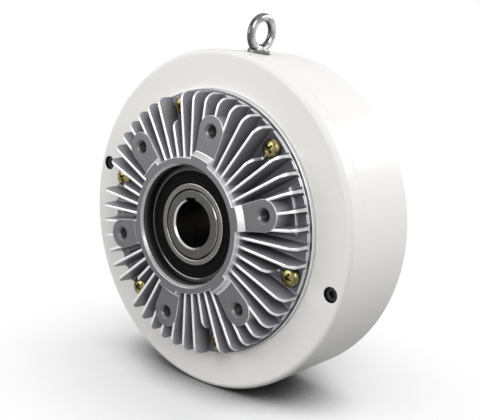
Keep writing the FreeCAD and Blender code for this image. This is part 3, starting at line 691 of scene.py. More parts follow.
def pale_floor():
    """Pale floor that keeps the shadow near the object, with a painted contact shadow, and fades to
    white further away.
    """
    s = Surface("pale_floor", 0.0, {"Roughness": 0.7, "Specular IOR Level": 0.2})
    oval = s.add("ShaderNodeMapping", {"Vector": s.place, "Rotation": (0, 0, -POOL_TURN),
                                       "Scale": POOL_SHAPE}).outputs["Vector"]
    distance = s.add("ShaderNodeVectorMath", {0: oval}, operation="LENGTH").outputs["Value"]
    away = s.spread(distance, POOL_NEAR, POOL_FAR, interpolation_type="SMOOTHSTEP")
    seen = s.seen_directly()
    # Painted shadow: ambient occlusion darkens the floor colour under and beside the object.
    under = s.add("ShaderNodeAmbientOcclusion", {"Distance": CONTACT_REACH}, samples=8)
    s.tint(s.spread(under.outputs["AO"], 0.2, 0.7), (0.05, 0.05, 0.05), (0.88, 0.88, 0.885))
    s.tint(s.spread(seen, 0.0, 1.0, 1.0, 0.0), None, (0.14, 0.14, 0.14))
    white = s.add("ShaderNodeEmission", {"Color": (1, 1, 1, 1), "Strength": 1.0}).outputs[0]
    blend = s.add("ShaderNodeMixShader", {0: s.calc("MULTIPLY", seen, away), 1: s.shader.outputs[0],
                                          2: white})
    s.feed(s.tree.nodes["Material Output"], {"Surface": blend.outputs[0]})
    return s.material


PAINT = worked(
    "housing_paint", 0.0, (14, (0.815, 0.8, 0.77), (0.79, 0.785, 0.765), 2), (60, 0.3, 0.36),
    grains=[(2600, 0.0015, 2)],
    more={"Specular IOR Level": 0.06, "Coat Weight": 0.06, "Coat Roughness": 0.08})
CAST = cast_aluminium()
# Painted highlight: a light aluminium for the fin crests, fin corners and flange edges.
CREST_AND_EDGE_HIGHLIGHT = worked(
    "aluminium_painted_highlight", 0.65, (200, (0.82, 0.82, 0.83), (0.7, 0.7, 0.715)), (500, 0.28, 0.42),
    (900, 0.58, 0.75, 0.5, (0.45, 0.45, 0.47)), grains=[(1700, 0.01)])
MACHINED = worked(
    "machined_aluminium", 0.85, (160, (0.125, 0.125, 0.132), (0.15, 0.15, 0.158)),
    (500, 0.32, 0.45, 4), (1700, 0.5, 0.75, 0.5, (0.09, 0.09, 0.092), 3, 0.75), (620, 0.6, 0.006),
    [(1900, 0.015, 4, 0.7)])
# Painted highlight: a light copy of the machined aluminium for the slopes to the tabs.
SLOPE_HIGHLIGHT = worked(
    "turned_aluminium", 0.9, (200, (0.68, 0.68, 0.69), (0.52, 0.52, 0.535)), (400, 0.22, 0.34),
    marks=(600, 0.3, 0.006))
BORED = worked(
    "bored_aluminium", 0.95, (200, (0.4, 0.4, 0.41), (0.3, 0.3, 0.31)), (400, 0.18, 0.26),
    marks=(600, 0.3, 0.006))
# Painted shade for bores, tapped holes, screw pockets and the gaps beside the shaft.
PAINTED_SHADE_METAL = painted_shade_metal()
ZINC = worked(
    "yellow_zinc", 1.0, (300, (0.34, 0.3, 0.13), (0.1, 0.095, 0.045)), (900, 0.16, 0.32),
    (420, 0.52, 0.66, 0.6, (0.16, 0.1, 0.05), 2), grains=[(420, 0.06), (2400, 0.01)],
    levels=(0.35, 0.65))
ZINC_WASHER = worked(
    "zinc_washer", 1.0, (330, (0.16, 0.145, 0.07), (0.09, 0.09, 0.055)), (900, 0.3, 0.5),
    grains=[(2000, 0.012)])
BLACK = worked(
    "black_oxide", 0.6, (500, (0.012, 0.012, 0.013), (0.03, 0.029, 0.028)), (800, 0.35, 0.55),
    grains=[(2200, 0.01)])
BRIGHT = bright_plate()
GROUND = worked(
    "ground_steel", 1.0, (140, (0.175, 0.168, 0.155), (0.135, 0.13, 0.122)), (260, 0.22, 0.34),
    (1500, 0.55, 0.75, 0.35, (0.085, 0.082, 0.078)), (900, 0.3, 0.004))
RACE = worked(
    "race_steel", 1.0, (200, (0.055, 0.054, 0.052), (0.035, 0.035, 0.034)), (300, 0.26, 0.38),
    marks=(900, 0.3, 0.004))
# Painted highlight: a light steel for the chamfers of the inner race and the shaft's bore mouth.
CHAMFER_HIGHLIGHT = worked(
    "chamfer_painted_highlight", 1.0, (240, (0.64, 0.63, 0.605), (0.5, 0.49, 0.47)), (500, 0.18, 0.27))
RACE_LIP = worked(
    "race_lip", 1.0, (240, (0.09, 0.09, 0.088), (0.065, 0.065, 0.063)), (500, 0.1, 0.18))
BORE_LIP = worked(
    "bore_lip", 1.0, (240, (0.24, 0.235, 0.225), (0.18, 0.176, 0.168)), (500, 0.1, 0.18))
SHAFT = worked(
    "shaft_steel", 1.0, (120, (0.105, 0.1, 0.092), (0.07, 0.067, 0.062)), (300, 0.26, 0.4),
    (1300, 0.55, 0.75, 0.4, (0.045, 0.043, 0.04)), (700, 0.4, 0.006))
RUBBER = worked(
    "seal_rubber", 0.0, (150, (0.003, 0.003, 0.0034), (0.006, 0.0059, 0.0058)), (600, 0.4, 0.6),
    grains=[(1400, 0.02)], more={"Specular IOR Level": 0.03})
STAINLESS = worked(
    "stainless", 1.0, (100, (0.57, 0.565, 0.555), (0.49, 0.49, 0.485)), (400, 0.24, 0.38),
    marks=(600, 0.4, 0.01))

# Finishes of the CAD nodes that stay as they are, by their names without front and rear
CARRIED = {
    "coil_bobbin": worked(
        "bobbin_plastic", 0.0, (90, (0.045, 0.045, 0.05), (0.065, 0.064, 0.066)),
        (500, 0.45, 0.62), grains=[(1300, 0.03)]),
    "coil_winding": copper_wire(),
    "isolating_ring": STAINLESS,
    "magnetic_powder": worked(
        "iron_powder", 0.7, (2500, (0.07, 0.07, 0.072), (0.24, 0.235, 0.23), 4, 0.7),
        grains=[(3000, 0.1, 4, 0.8), (260, 0.3)], more={"Roughness": 0.7}),
    "rotor_drum": worked(
        "magnet_steel", 1.0, (90, (0.36, 0.355, 0.35), (0.27, 0.27, 0.28), 4), (300, 0.35, 0.5),
        marks=(500, 0.5, 0.015)),
    "rotor_key": GROUND,
    "bearing_balls": worked(
        "ball_steel", 1.0, (300, (0.62, 0.62, 0.62), (0.56, 0.56, 0.57), 2), (900, 0.06, 0.12, 2)),
    "bearing_cage": worked(
        "cage_brass", 1.0, (200, (0.62, 0.45, 0.18), (0.48, 0.33, 0.13)), (700, 0.26, 0.44),
        grains=[(2000, 0.01)]),
    "powder_seal": worked(
        "felt", 0.0, (700, (0.6, 0.55, 0.46), (0.42, 0.38, 0.32), 5, 0.7),
        grains=[(1200, 0.25, 5, 0.75)], more={"Roughness": 0.95, "Sheen Weight": 0.4}),
    "slinger": STAINLESS,
    "drum_circlip": worked(
        "spring_steel", 0.9, (250, (0.18, 0.18, 0.19), (0.11, 0.11, 0.12)), (600, 0.28, 0.42),
        grains=[(1800, 0.01)]),
}


def dress_carried():
    for node, thing in frame["nodes"].items():
        name = node.removeprefix("front_").removeprefix("rear_")
        if name in CARRIED:
            thing.data.materials.clear()
            thing.data.materials.append(CARRIED[name])


# Tests that pick the faces of a finish, with a few tenths of a millimetre to spare

def off_shaft(centre):
    """Distance from the shaft axis."""
    return hypot(centre.x, centre.z)


def off_hole(centre, pcd_r=TAB_PCD_R, angles=TAB_ANGLES):
    """Distance from the axis of the nearest of several holes, at first the tapped ones."""
    return min((centre - on_axis(pcd_r, angle, centre.y)).length for angle in angles)


def on_chamfer(centre, normal):
    """A face of a turned piece that slopes to the shaft axis."""
    return 0.3 < abs(normal.y) < 0.93


def in_pocket(centre, normal):
    """Wall and floor of the clamp screw pockets, dark with painted shade."""
    off = off_hole(centre, CLAMP_PCD_R, CLAMP_ANGLES)
    return off < POCKET_R + 0.05 and centre.y > HOUSING_FRONT + 0.5


def on_machined(centre, normal):
    """Hub face, tab faces with their countersinks and flange rim."""
    flat = normal.y < -0.95
    on_tab = flat and abs(centre.y) < 0.3
    on_hub = flat and centre.y < HUB_FACE + 0.3
    on_rim = flat and off_shaft(centre) > FLANGE_R - RIM_WIDTH and centre.y > FIN_BED + 1
    sink = off_hole(centre) < TAP_R + TAP_MOUTH + 0.1 and centre.y < TAP_MOUTH
    return on_tab or on_hub or on_rim or (sink and on_chamfer(centre, normal))


def on_slope(centre, normal):
    """Slopes from the hub face down to the tabs, which get a painted highlight."""
    near = LEDGE_R < off_shaft(centre) < LEDGE_FOOT_R and HUB_FACE + 0.2 < centre.y < -0.3
    return near and -0.9 < normal.y < -0.3


def on_crests_and_edges_highlight(centre, normal):
    """Fin crests and corners, and the edges of the flange, which get a painted highlight."""
    radius = off_shaft(centre)
    outwards = Vector((centre.x, 0, centre.z)).normalized()
    out = normal.dot(outwards)
    if radius > HUB_R + 0.5 and off_hole(centre) > TAB_END_R + 0.5:
        across = abs(normal.dot(outwards.cross(Vector((0, 1, 0)))))
        crest = normal.y < -0.6 and abs(centre.y - FIN_FRONT) < 0.4
        corner = across < 0.5 and out > 0.1 and FIN_FRONT < centre.y < FIN_BED - 0.5
        if crest or corner:
            return True
    step = abs(radius - FLANGE_R + RIM_WIDTH) < 0.5 and centre.y > FIN_BED and out > 0.5
    return step or (radius > FLANGE_R - 0.3 and centre.y < SEAT)


def in_bore(centre, normal):
    """Bearing bore and the inside of the tapped holes."""
    tapped = off_hole(centre) < TAP_R + THREAD_DEPTH + 0.3 and centre.y > TAP_MOUTH
    bore = off_shaft(centre) < HUB_MOUTH_R + 0.1 and centre.y > HUB_FACE + MOUTH_CHAMFER
    return (tapped and abs(normal.y) < 0.98) or bore


def below_collar(centre, normal):
    """Collar and shank of the eyebolt."""
    return centre.dot(on_axis(1, EYE_ANGLE, 0)) < EYE_COLLAR_TOP + 0.1


def in_ring_gap(centre, normal):
    """Deeper part of the inner race's edges beside the shaft, dark with painted shade."""
    depth = min(centre.y - BEARING_FRONT, BEARING_BACK - centre.y)
    return off_shaft(centre) < BEARING_BORE_R + RING_ROUND and depth > RING_EDGE_DEPTH


def sloping(inner, outer, back=HOUSING_R):
    """Test for sloping faces between two distances from the shaft axis, in front of a y."""
    def test(centre, normal):
        return on_chamfer(centre, normal) and inner < off_shaft(centre) < outer and centre.y < back
    return test


ON_MOUTH = sloping(HUB_MOUTH_R, HUB_MOUTH_R + MOUTH_CHAMFER + 0.4, HUB_FACE + MOUTH_CHAMFER + 0.3)
BY_RING_BORE = sloping(0, BEARING_BORE_R + RING_ROUND)
AT_BORE_MOUTH = sloping(0, SHAFT_BORE_R + BORE_CHAMFER + 0.3)
AT_OUTER_CHAMFER = sloping(BEARING_BORE_R - SHAFT_CHAMFER - 0.1, CHAMFER_STEP_R)
# Painted shade in the gap between the shaft's outer chamfer and the inner race.
IN_CHAMFER_GAP = sloping(CHAMFER_STEP_R, BEARING_BORE_R + 0.1)


# Housing; corners of a turned outline are (radius, y, edge radius)

def pocket(angle):
    """Cutter for a clamp screw pocket with a softened mouth."""
    mouth_r = POCKET_R + POCKET_ROUND
    lip = POCKET_ROUND * 0.3
    end = SEAM - HOUSING_FRONT + 2 * OVERCUT
    profile = [
        (0, -OVERCUT), (mouth_r, -OVERCUT), (mouth_r, 0), (POCKET_R + lip, lip),
        (POCKET_R, POCKET_ROUND), (POCKET_R, POCKET_DEPTH),
        (CLAMP_R, POCKET_DEPTH), (CLAMP_R, end), (0, end)]
    return lathe(profile, HEAD_STEPS, Matrix.Translation(on_axis(CLAMP_PCD_R, angle, HOUSING_FRONT)))


def front_housing():
    chamber_r = CHAMBER_R - JOINT_GAP
    profile = rounded([
        (POLE_R, SEAT, SMALL_ROUND), (RECESS_R, SEAT, 0), (RECESS_R, HOUSING_FRONT, RECESS_EDGE_R),
        (HOUSING_R, HOUSING_FRONT, FRONT_EDGE_R), (HOUSING_R, SEAM, SEAM_SOFTNESS),
        (chamber_r, SEAM, 0), (chamber_r, WALL_END, SMALL_ROUND), (POLE_OUTER_R, WALL_END, 0),
        (POLE_OUTER_R, NOSE_END, SMALL_ROUND), (POLE_R, NOSE_END, SMALL_ROUND)], steps=6)
    shell = as_object(lathe(profile, HOUSING_STEPS), "front_housing_shell")
    cut(shell, *[pocket(angle) for angle in CLAMP_ANGLES])
    # The clamp screw pockets get painted shade.
    dress(shell, "stator", "front_yoke", "housing_paint", PAINT, (PAINTED_SHADE_METAL, in_pocket))


def rear_housing():
    """Deep painted cup with a spot face for the eyebolt and a seat for the lead grommet."""
    seat = 2 * MIDDLE - SEAT
    nose = 2 * MIDDLE - NOSE_END
    wall = 2 * MIDDLE - WALL_END
    profile = rounded([
        (CHAMBER_R, SEAM, 0), (HOUSING_R, SEAM, SEAM_SOFTNESS), (HOUSING_R, HOUSING_REAR, REAR_EDGE_R),
        (RECESS_R, HOUSING_REAR, RECESS_EDGE_R), (RECESS_R, seat, 0), (POLE_R, seat, SMALL_ROUND),
        (POLE_R, nose, SMALL_ROUND), (POLE_OUTER_R, nose, SMALL_ROUND), (POLE_OUTER_R, wall, 0),
        (CHAMBER_R, wall, 0)], steps=6)
    shell = as_object(lathe(profile, HOUSING_STEPS), "rear_housing_shell")
    eye_place = radial_place(EYE_ANGLE, EYE_Y)
    lead_place = radial_place(LEAD_ANGLE, LEAD_Y)
    cut(shell,
        rod(EYE_SEAT_R, EYE_SEAT, HOUSING_R + OVERCUT, HEAD_STEPS, eye_place),
        rod(EYE_SHANK_R, EYE_SHANK_END - OVERCUT, EYE_SEAT + 0.5, SHANK_STEPS, eye_place),
        rod(LEAD_SEAT_R, LEAD_SEAT, HOUSING_R + OVERCUT, HEAD_STEPS, lead_place),
        rod(LEAD_HOLE_R, CHAMBER_R - OVERCUT, LEAD_SEAT + 0.5, HOLE_STEPS, lead_place))
    dress(shell, "stator", "rear_yoke", "housing_paint", PAINT)


# Finned bracket casting

def bracket_profile():
    pilot_r = POLE_R - JOINT_GAP
    pilot_inner_r = pilot_r - PILOT_WALL
    rim_r = FLANGE_R - RIM_WIDTH
    web = FIN_BED + WEB_THICKNESS
    shoulder = BEARING_BACK + SHOULDER_WIDTH
    return rounded([
        (HUB_MOUTH_R, HUB_FACE + MOUTH_CHAMFER, 0.25), (HUB_MOUTH_R + MOUTH_CHAMFER, HUB_FACE, 0.7),
        (HUB_R, HUB_FACE, CAST_ROUND), (HUB_R, FIN_BED, CAST_FILLET),
        (rim_r, FIN_BED, RIM_ROUND), (rim_r, FIN_BED + RIM_DROP, RIM_ROUND),
        (FLANGE_R, FIN_BED + RIM_DROP, RIM_ROUND), (FLANGE_R, SEAT, 0.2), (pilot_r, SEAT, 0.2),
        (pilot_r, PILOT_END, CAST_ROUND), (pilot_inner_r, PILOT_END, CAST_ROUND),
        (pilot_inner_r, web, WEB_FILLET), (BOSS_R, web, WEB_FILLET), (BOSS_R, PILOT_END, CAST_ROUND),
        (FELT_SEAT_R, PILOT_END, 0.4), (FELT_SEAT_R, shoulder, 0), (SHOULDER_R, shoulder, SMALL_ROUND),
        (SHOULDER_R, BEARING_BACK, SMALL_ROUND), (BEARING_R, BEARING_BACK, 0),
        (BEARING_R, BEARING_FRONT, 0), (HUB_MOUTH_R, BEARING_FRONT, 0)])


def fin_section(radius, top, squeeze):
    """Section of a fin across its length: root fillets, drafted flanks and a rounded crest."""
    side = [(FIN_FOOT / 2 + CAST_FILLET - squeeze, FIN_BED + SINK)]
    for sine, cosine in quarter(4):
        half = FIN_FOOT / 2 + CAST_FILLET * (1 - sine) - squeeze
        side.append((half, FIN_BED - CAST_FILLET * (1 - cosine)))
    slope = (FIN_FOOT - FIN_CREST) / 2 / (FIN_BED - FIN_FRONT)
    crest_half = FIN_CREST / 2 + slope * (top - FIN_FRONT) - squeeze
    round_r = min(FIN_CREST_ROUND, crest_half * 0.9)
    for sine, cosine in quarter(3):
        side.append((crest_half - round_r * (1 - cosine), top + round_r * (1 - sine)))
    left = [(radius, y, half) for half, y in side]
    return left + [(radius, y, -half) for half, y in reversed(side)]


def fin(end_r, heel_r=None):
    """Fin along +X whose crest bends down to the rim in a round corner."""
    stations = [(FIN_ROOT_R, FIN_FRONT, 0.0), (end_r - FIN_CORNER_R, FIN_FRONT, 0.0)]
    for sine, cosine in quarter(8)[1:]:
        radius = end_r - FIN_CORNER_R * (1 - sine)
        squeeze = FIN_END_PINCH * max(0.0, 1 - (end_r - radius) / FIN_END_REACH) ** 2
        stations.append((radius, FIN_FRONT + FIN_CORNER_R * (1 - cosine), squeeze))
    if heel_r is not None:
        heel = FIN_BED - HEEL_HEIGHT
        stations += [(end_r + 0.3, heel - 0.6, 0.3), (end_r + 0.9, heel, 0.2),
                     (heel_r - 0.5, heel, 0.2), (heel_r, heel + 0.5, 0.5)]
    return skin([fin_section(*station) for station in stations])


def tab_ring(grow, y):
    """Outline of a tab at one height, grown outwards by an allowance."""
    length = TAB_PCD_R - FIN_ROOT_R
    away = hypot(length, TAB_ROOT_HALF)
    first = pi / 2 + asin(TAB_END_R / away) - atan2(TAB_ROOT_HALF, length)
    radius = TAB_END_R + grow
    points = [(FIN_ROOT_R, y, TAB_ROOT_HALF + grow)]
    for step in range(25):
        turn = first - 2 * first * step / 24
        points.append((TAB_PCD_R + radius * cos(turn), y, radius * sin(turn)))
    points.append((FIN_ROOT_R, y, -TAB_ROOT_HALF - grow))
    return points


def tab():
    """Tab with a rounded edge, drafted sides and a fillet on the flange."""
    reach = (FIN_BED - CAST_FILLET) * TAB_DRAFT
    arc = quarter(3)
    steps = [(-TAB_EDGE_ROUND * (1 - sine), TAB_EDGE_ROUND * (1 - cosine)) for sine, cosine in arc]
    steps += [(reach + CAST_FILLET * (1 - cosine), FIN_BED - CAST_FILLET * (1 - sine))
              for sine, cosine in arc]
    steps.append((reach + CAST_FILLET, FIN_BED + SINK))
    return skin([tab_ring(grow, y) for grow, y in steps])


def ledge():
    """Hub face carried out over the root of a tab, with a slope down to the tab face."""
    rings = []
    for radius, y, inset in ((LEDGE_R - 0.1, HUB_FACE, 0.4), (LEDGE_R + 0.2, HUB_FACE + 0.15, 0.15),
                             (LEDGE_R + 0.35, HUB_FACE + 0.5, 0.0), (LEDGE_FOOT_R - 0.5, -0.5, -0.1),
                             (LEDGE_FOOT_R - 0.1, -0.15, -0.1), (LEDGE_FOOT_R + 0.5, 0.05, -0.1),
                             (LEDGE_FOOT_R + 0.5, SINK, -0.2)):
        half = TAB_ROOT_HALF + LEDGE_FLARE - inset
        turn = degrees(asin(half / radius))
        arc = [on_axis(radius, turn - 2 * turn * k / 8, y) for k in range(9)]
        rings.append([(FIN_ROOT_R, y, half), *arc, (FIN_ROOT_R, y, -half)])
    return skin(rings)


def foot():
    """Low step on the flange round a tab."""
    top = FIN_BED - FOOT_HEIGHT
    rings = []
    for inset, y in ((0.45, top), (0.12, top + 0.12), (0.0, top + 0.45), (-0.1, FIN_BED - 0.5),
                     (-0.6, FIN_BED), (-0.6, FIN_BED + SINK)):
        outer = FOOT_R - inset
        half = FOOT_HALF_ANGLE - degrees(inset / outer)
        arc = [on_axis(outer, half - 2 * half * k / 14, y) for k in range(15)]
        rings.append([on_axis(FIN_ROOT_R, half, y), *arc, on_axis(FIN_ROOT_R, -half, y)])
    return skin(rings)


def threaded_hole():
    """Cutter for a countersunk tapped hole along the shaft axis."""
    mouth_r = TAP_R + TAP_MOUTH
    groove_r = TAP_R + THREAD_DEPTH
    outline = [(0, -OVERCUT), (mouth_r + 0.25, -OVERCUT), (mouth_r + 0.25, 0),
               (mouth_r - 0.1, 0.15), (TAP_R + 0.1, TAP_MOUTH)]
    y = TAP_MOUTH + 0.2
    while y < TAP_DEPTH - THREAD_PITCH:
        outline += [(TAP_R, y), (groove_r, y + THREAD_PITCH * 0.45), (groove_r, y + THREAD_PITCH * 0.6)]
        y += THREAD_PITCH
    outline += [(TAP_R, y), (TAP_R, TAP_DEPTH), (0, TAP_DEPTH + 1.5)]
    return lathe(outline, HOLE_STEPS)


def front_casting():
    """Casting with its fins, of which a short one stands in front of each screw."""
    casting = as_object(lathe(bracket_profile(), CASTING_STEPS), "front_bracket_casting")
    pitch = 360.0 / (TAB_COUNT * FINS_PER_TAB)
    long_angles = [angle + pitch * step for angle in TAB_ANGLES
                   for step in range(FINS_PER_TAB) if step != FINS_PER_TAB // 2]
    join(casting, *copies(fin(FIN_END_R), round_shaft(long_angles)),
         *copies(fin(SHORT_FIN_END_R, SHORT_FIN_HEEL_R), round_shaft(SCREW_ANGLES)))
    for piece in (foot(), tab(), ledge()):
        join(casting, *copies(piece, round_shaft(TAB_ANGLES)))
    cut(casting, rod(HUB_MOUTH_R, HUB_FACE - OVERCUT, BEARING_FRONT, CASTING_STEPS))
    cut(casting, *copies(threaded_hole(), round_shaft(TAB_ANGLES, TAB_PCD_R)))
    hole = rod(SCREW_HOLE_R, FIN_BED - OVERCUT, SEAT + OVERCUT, SHANK_STEPS)
    cut(casting, *copies(hole, round_shaft(SCREW_ANGLES, SCREW_PCD_R)))
    # Bores and tapped holes get painted shade; fin crests, flange edges and tab slopes get a painted
    # highlight.
    return dress(casting, "stator", "front_bracket", "cast_aluminium", CAST,
                 (MACHINED, on_machined), (SLOPE_HIGHLIGHT, on_slope), (BORED, ON_MOUTH),
                 (CREST_AND_EDGE_HIGHLIGHT, on_crests_and_edges_highlight), (PAINTED_SHADE_METAL, in_bore))


# Fasteners

def cross_recess():
    """Tapered cross-shaped cutter along the shaft axis, wide end to the front."""
    rings = []
    for share, y in ((1.25, -1.0), (1.0, 0.0), (0.42, CROSS_DEPTH)):
        arm = RECESS_ARM * share
        half = RECESS_HALF * (0.6 + 0.4 * share)
        rings.append([])
        for quadrant in range(4):
            turn = Matrix.Rotation(radians(-90 * quadrant), 2)
            for corner in ((half, half), (arm, half), (arm, -half)):
                x, z = turn @ Vector(corner)
                rings[-1].append((x, y, z))
    return skin(rings)


def pan_screw():
    """Pan head, whose dome starts above a short straight side, and its shank."""
    under = FIN_BED - WASHER_THICKNESS
    side = under - PAN_HEAD_SIDE
    dome = PAN_HEAD_HEIGHT - PAN_HEAD_SIDE
    outline = [
        (0, SCREW_END), (SCREW_R - 0.5, SCREW_END), (SCREW_R, SCREW_END - 0.6), (SCREW_R, under),
        (PAN_HEAD_R - 0.35, under), (PAN_HEAD_R, under - 0.3), (PAN_HEAD_R, side)]
    outline += [(PAN_HEAD_R * cosine, side - dome * sine) for sine, cosine in quarter(9)[1:]]
    return lathe(outline, HEAD_STEPS)


def bracket_screws():
    """Six pan heads, each with its cross recess turned another way."""
    recess = cross_recess()
    top = FIN_BED - WASHER_THICKNESS - PAN_HEAD_HEIGHT
    recess.transform(Matrix.Translation((0, top + 0.1, 0)))
    single = as_object(pan_screw(), "single_screw")
    cut(single, recess)
    moves = [(spin(-turn), Matrix.Translation(on_axis(SCREW_PCD_R, angle, 0)))
             for angle, turn in zip(SCREW_ANGLES, CROSS_TURNS)]
    screws = as_object(merged(copies(taken_back(single), moves)), "front_pan_head_screws")
    return dress(screws, "stator", "front_bracket_screws", "yellow_zinc", ZINC, sharp_angle=28)


def washer_ring():
    """Split ring: a rounded section swept most of the way round, ends slightly apart."""
    middle_r = (WASHER_R + WASHER_BORE_R) / 2
    half = (WASHER_R - WASHER_BORE_R) / 2
    lift = WASHER_THICKNESS / 2
    corners = ((-half, -lift), (half, -lift), (half, lift), (-half, lift))
    section = rounded([(a, b, WASHER_EDGE_R) for a, b in corners], steps=3)
    rings = []
    for k in range(WASHER_STEPS + 1):
        angle = WASHER_SLOT_ANGLE / 2 + (360 - WASHER_SLOT_ANGLE) * k / WASHER_STEPS
        rings.append([])
        for x, y in section:
            slant = degrees(y * WASHER_SLOT_SLANT / middle_r)
            rings[-1].append(on_axis(middle_r + x, angle + slant, FIN_BED - lift + y))
    return skin(rings)


def spring_washers():
    rings = copies(washer_ring(), round_shaft(SCREW_ANGLES, SCREW_PCD_R))
    washers = as_object(merged(rings), "front_split_washers")
    return dress(washers, "stator", "front_spring_washers", "yellow_zinc", ZINC_WASHER)


def clamp_screws():
    """Knurled socket-head screws sunk in the white face."""
    seat = HOUSING_FRONT + POCKET_DEPTH
    top = seat - CLAMP_HEAD_HEIGHT
    rings = []
    for drop, radius, knurl in ((0.0, CLAMP_HEAD_R - 0.5, 0.0), (0.15, CLAMP_HEAD_R - 0.15, 0.0),
                                (0.5, CLAMP_HEAD_R, KNURL_DEPTH),
                                (CLAMP_HEAD_HEIGHT, CLAMP_HEAD_R, KNURL_DEPTH)):
        rings.append([on_axis(radius - knurl * (k % 2), 180.0 * k / KNURL_COUNT, top + drop)
                      for k in range(2 * KNURL_COUNT)])
    screw = as_object(skin(rings), "single_clamp_screw")
    join(screw, rod(CLAMP_R, seat - 0.5, CLAMP_END, SHANK_STEPS))
    mouth_r = HEX_SOCKET_R + HEX_MOUTH
    levels = ((top - OVERCUT, mouth_r), (top, mouth_r), (top + HEX_MOUTH, HEX_SOCKET_R),
              (top + HEX_SOCKET_DEPTH, HEX_SOCKET_R))
    cut(screw, skin([[on_axis(radius, 60 * k, y) for k in range(6)] for y, radius in levels]))
    moves = [(Matrix.Translation(on_axis(CLAMP_PCD_R, angle, 0)),) for angle in CLAMP_ANGLES]
    pair = as_object(merged(copies(taken_back(screw), moves)), "housing_clamp_screws")
    dress(pair, "stator", "yoke_clamp_screws", "black_oxide", BLACK)


def eye_ring():
    """Ring of the eye round its own centre, a little thicker where it runs into the neck."""
    rings = []
    for k in range(96):
        turn = 2 * pi * k / 96
        root = max(0.0, -sin(turn)) ** 4
        wire = EYE_WIRE_R * (1 + EYE_ROOT_GROWTH * root)
        rings.append([])
        for j in range(28):
            around = 2 * pi * j / 28
            reach = EYE_RING_R - EYE_ROOT_SHIFT * root + wire * cos(around)
            rings[-1].append((wire * sin(around), EYE_CENTRE + reach * sin(turn), reach * cos(turn)))
    return skin(rings, loop=True)


def lifting_eye():
    """Forged eye that runs into its neck, on a turned collar with a shank."""
    place = radial_place(EYE_ANGLE, EYE_Y)
    ring = eye_ring()
    ring.transform(place)
    eye = as_object(ring, "forged_lifting_eye")
    foot_r, top_r, neck_foot = EYE_NECK_FOOT_R, EYE_NECK_TOP_R, EYE_SEAT + 0.8
    neck = [(0, neck_foot), (foot_r, neck_foot), (foot_r - 0.4, EYE_SEAT + 2.9),
            (top_r + 0.4, EYE_SEAT + 3.9), (top_r, EYE_NECK_TOP), (0, EYE_NECK_TOP)]
    join(eye, lathe(neck, 72, place))
    blend = eye.modifiers.new("forging", "REMESH")
    blend.mode = "VOXEL"
    blend.voxel_size = EYE_VOXEL * MM
    soften = eye.modifiers.new("soften", "SMOOTH")
    soften.factor = 0.5
    soften.iterations = 8
    apply_modifiers(eye)
    end, top = EYE_SHANK_END, EYE_COLLAR_TOP
    collar = rounded([
        (0, end, 0), (EYE_SHANK_R - 0.6, end, 0), (EYE_SHANK_R, end + 0.6, 0),
        (EYE_SHANK_R, EYE_SEAT, 0), (EYE_COLLAR_R - 0.3, EYE_SEAT, 0.2),
        (EYE_COLLAR_R, EYE_SEAT + 0.5, 0.4), (EYE_COLLAR_R, top - 0.7, 0.4),
        (EYE_COLLAR_R - 0.7, top, 0.3), (0, top, 0)])
    join(eye, lathe(collar, 96, place))
    dress(eye, "stator", "eyebolt", "bright_plate", BRIGHT, (GROUND, below_collar), sharp_angle=40)


def grommet():
    """Rubber bush with a rounded flange and a lead hole."""
    inner = CHAMBER_R + 0.3
    outer = LEAD_SEAT + GROMMET_FLANGE
    outline = rounded([
        (GROMMET_BORE_R, inner, 0.3), (GROMMET_SLEEVE_R, inner, 0.3), (GROMMET_SLEEVE_R, LEAD_SEAT, 0),
        (GROMMET_R, LEAD_SEAT, 0.3), (GROMMET_R, outer, 1.2), (GROMMET_BORE_R + 1.2, outer, 0.4),
        (GROMMET_BORE_R, outer - 0.8, 0.6)])
    bush = as_object(lathe(outline, HEAD_STEPS, radial_place(LEAD_ANGLE, LEAD_Y)), "rubber_lead_bush")
    dress(bush, "stator", "lead_grommet", "seal_rubber", RUBBER)


# Bearings and shaft

def race_groove(edge_r, way):
    """Corners of the ball groove of a ring, from its front edge to its back edge."""
    centre_y = (BEARING_FRONT + BEARING_BACK) / 2
    groove_r = BALL_R + BALL_GAP
    reach = sqrt(groove_r ** 2 - (edge_r - BALL_PITCH_R) ** 2)
    span = asin(reach / groove_r)
    return [(BALL_PITCH_R + way * groove_r * cos(turn), centre_y + groove_r * sin(turn), 0)
            for turn in [-span + 2 * span * k / 12 for k in range(13)]]


def outer_race():
    lip_r = SEAL_SEAT_R + SEAL_SEAT_CHAMFER
    front_step = BEARING_FRONT + SEAL_SEAT_WIDTH
    back_step = BEARING_BACK - SEAL_SEAT_WIDTH
    corners = [
        (SEAL_SEAT_R, BEARING_FRONT + SEAL_SEAT_CHAMFER / 2, 0), (lip_r, BEARING_FRONT, 0.1),
        (BEARING_R, BEARING_FRONT, RING_ROUND), (BEARING_R, BEARING_BACK, RING_ROUND),
        (lip_r, BEARING_BACK, 0.1), (SEAL_SEAT_R, BEARING_BACK - SEAL_SEAT_CHAMFER / 2, 0),
        (SEAL_SEAT_R, back_step, 0), (OUTER_RING_R, back_step, 0),
        *reversed(race_groove(OUTER_RING_R, 1)),
        (OUTER_RING_R, front_step, 0), (SEAL_SEAT_R, front_step, 0)]
    ring = as_object(lathe(rounded(corners)), "front_outer_race")
    return dress(ring, "stator", "front_bearing_outer_ring", "ground_steel", RACE,
                 (RACE_LIP, on_chamfer))


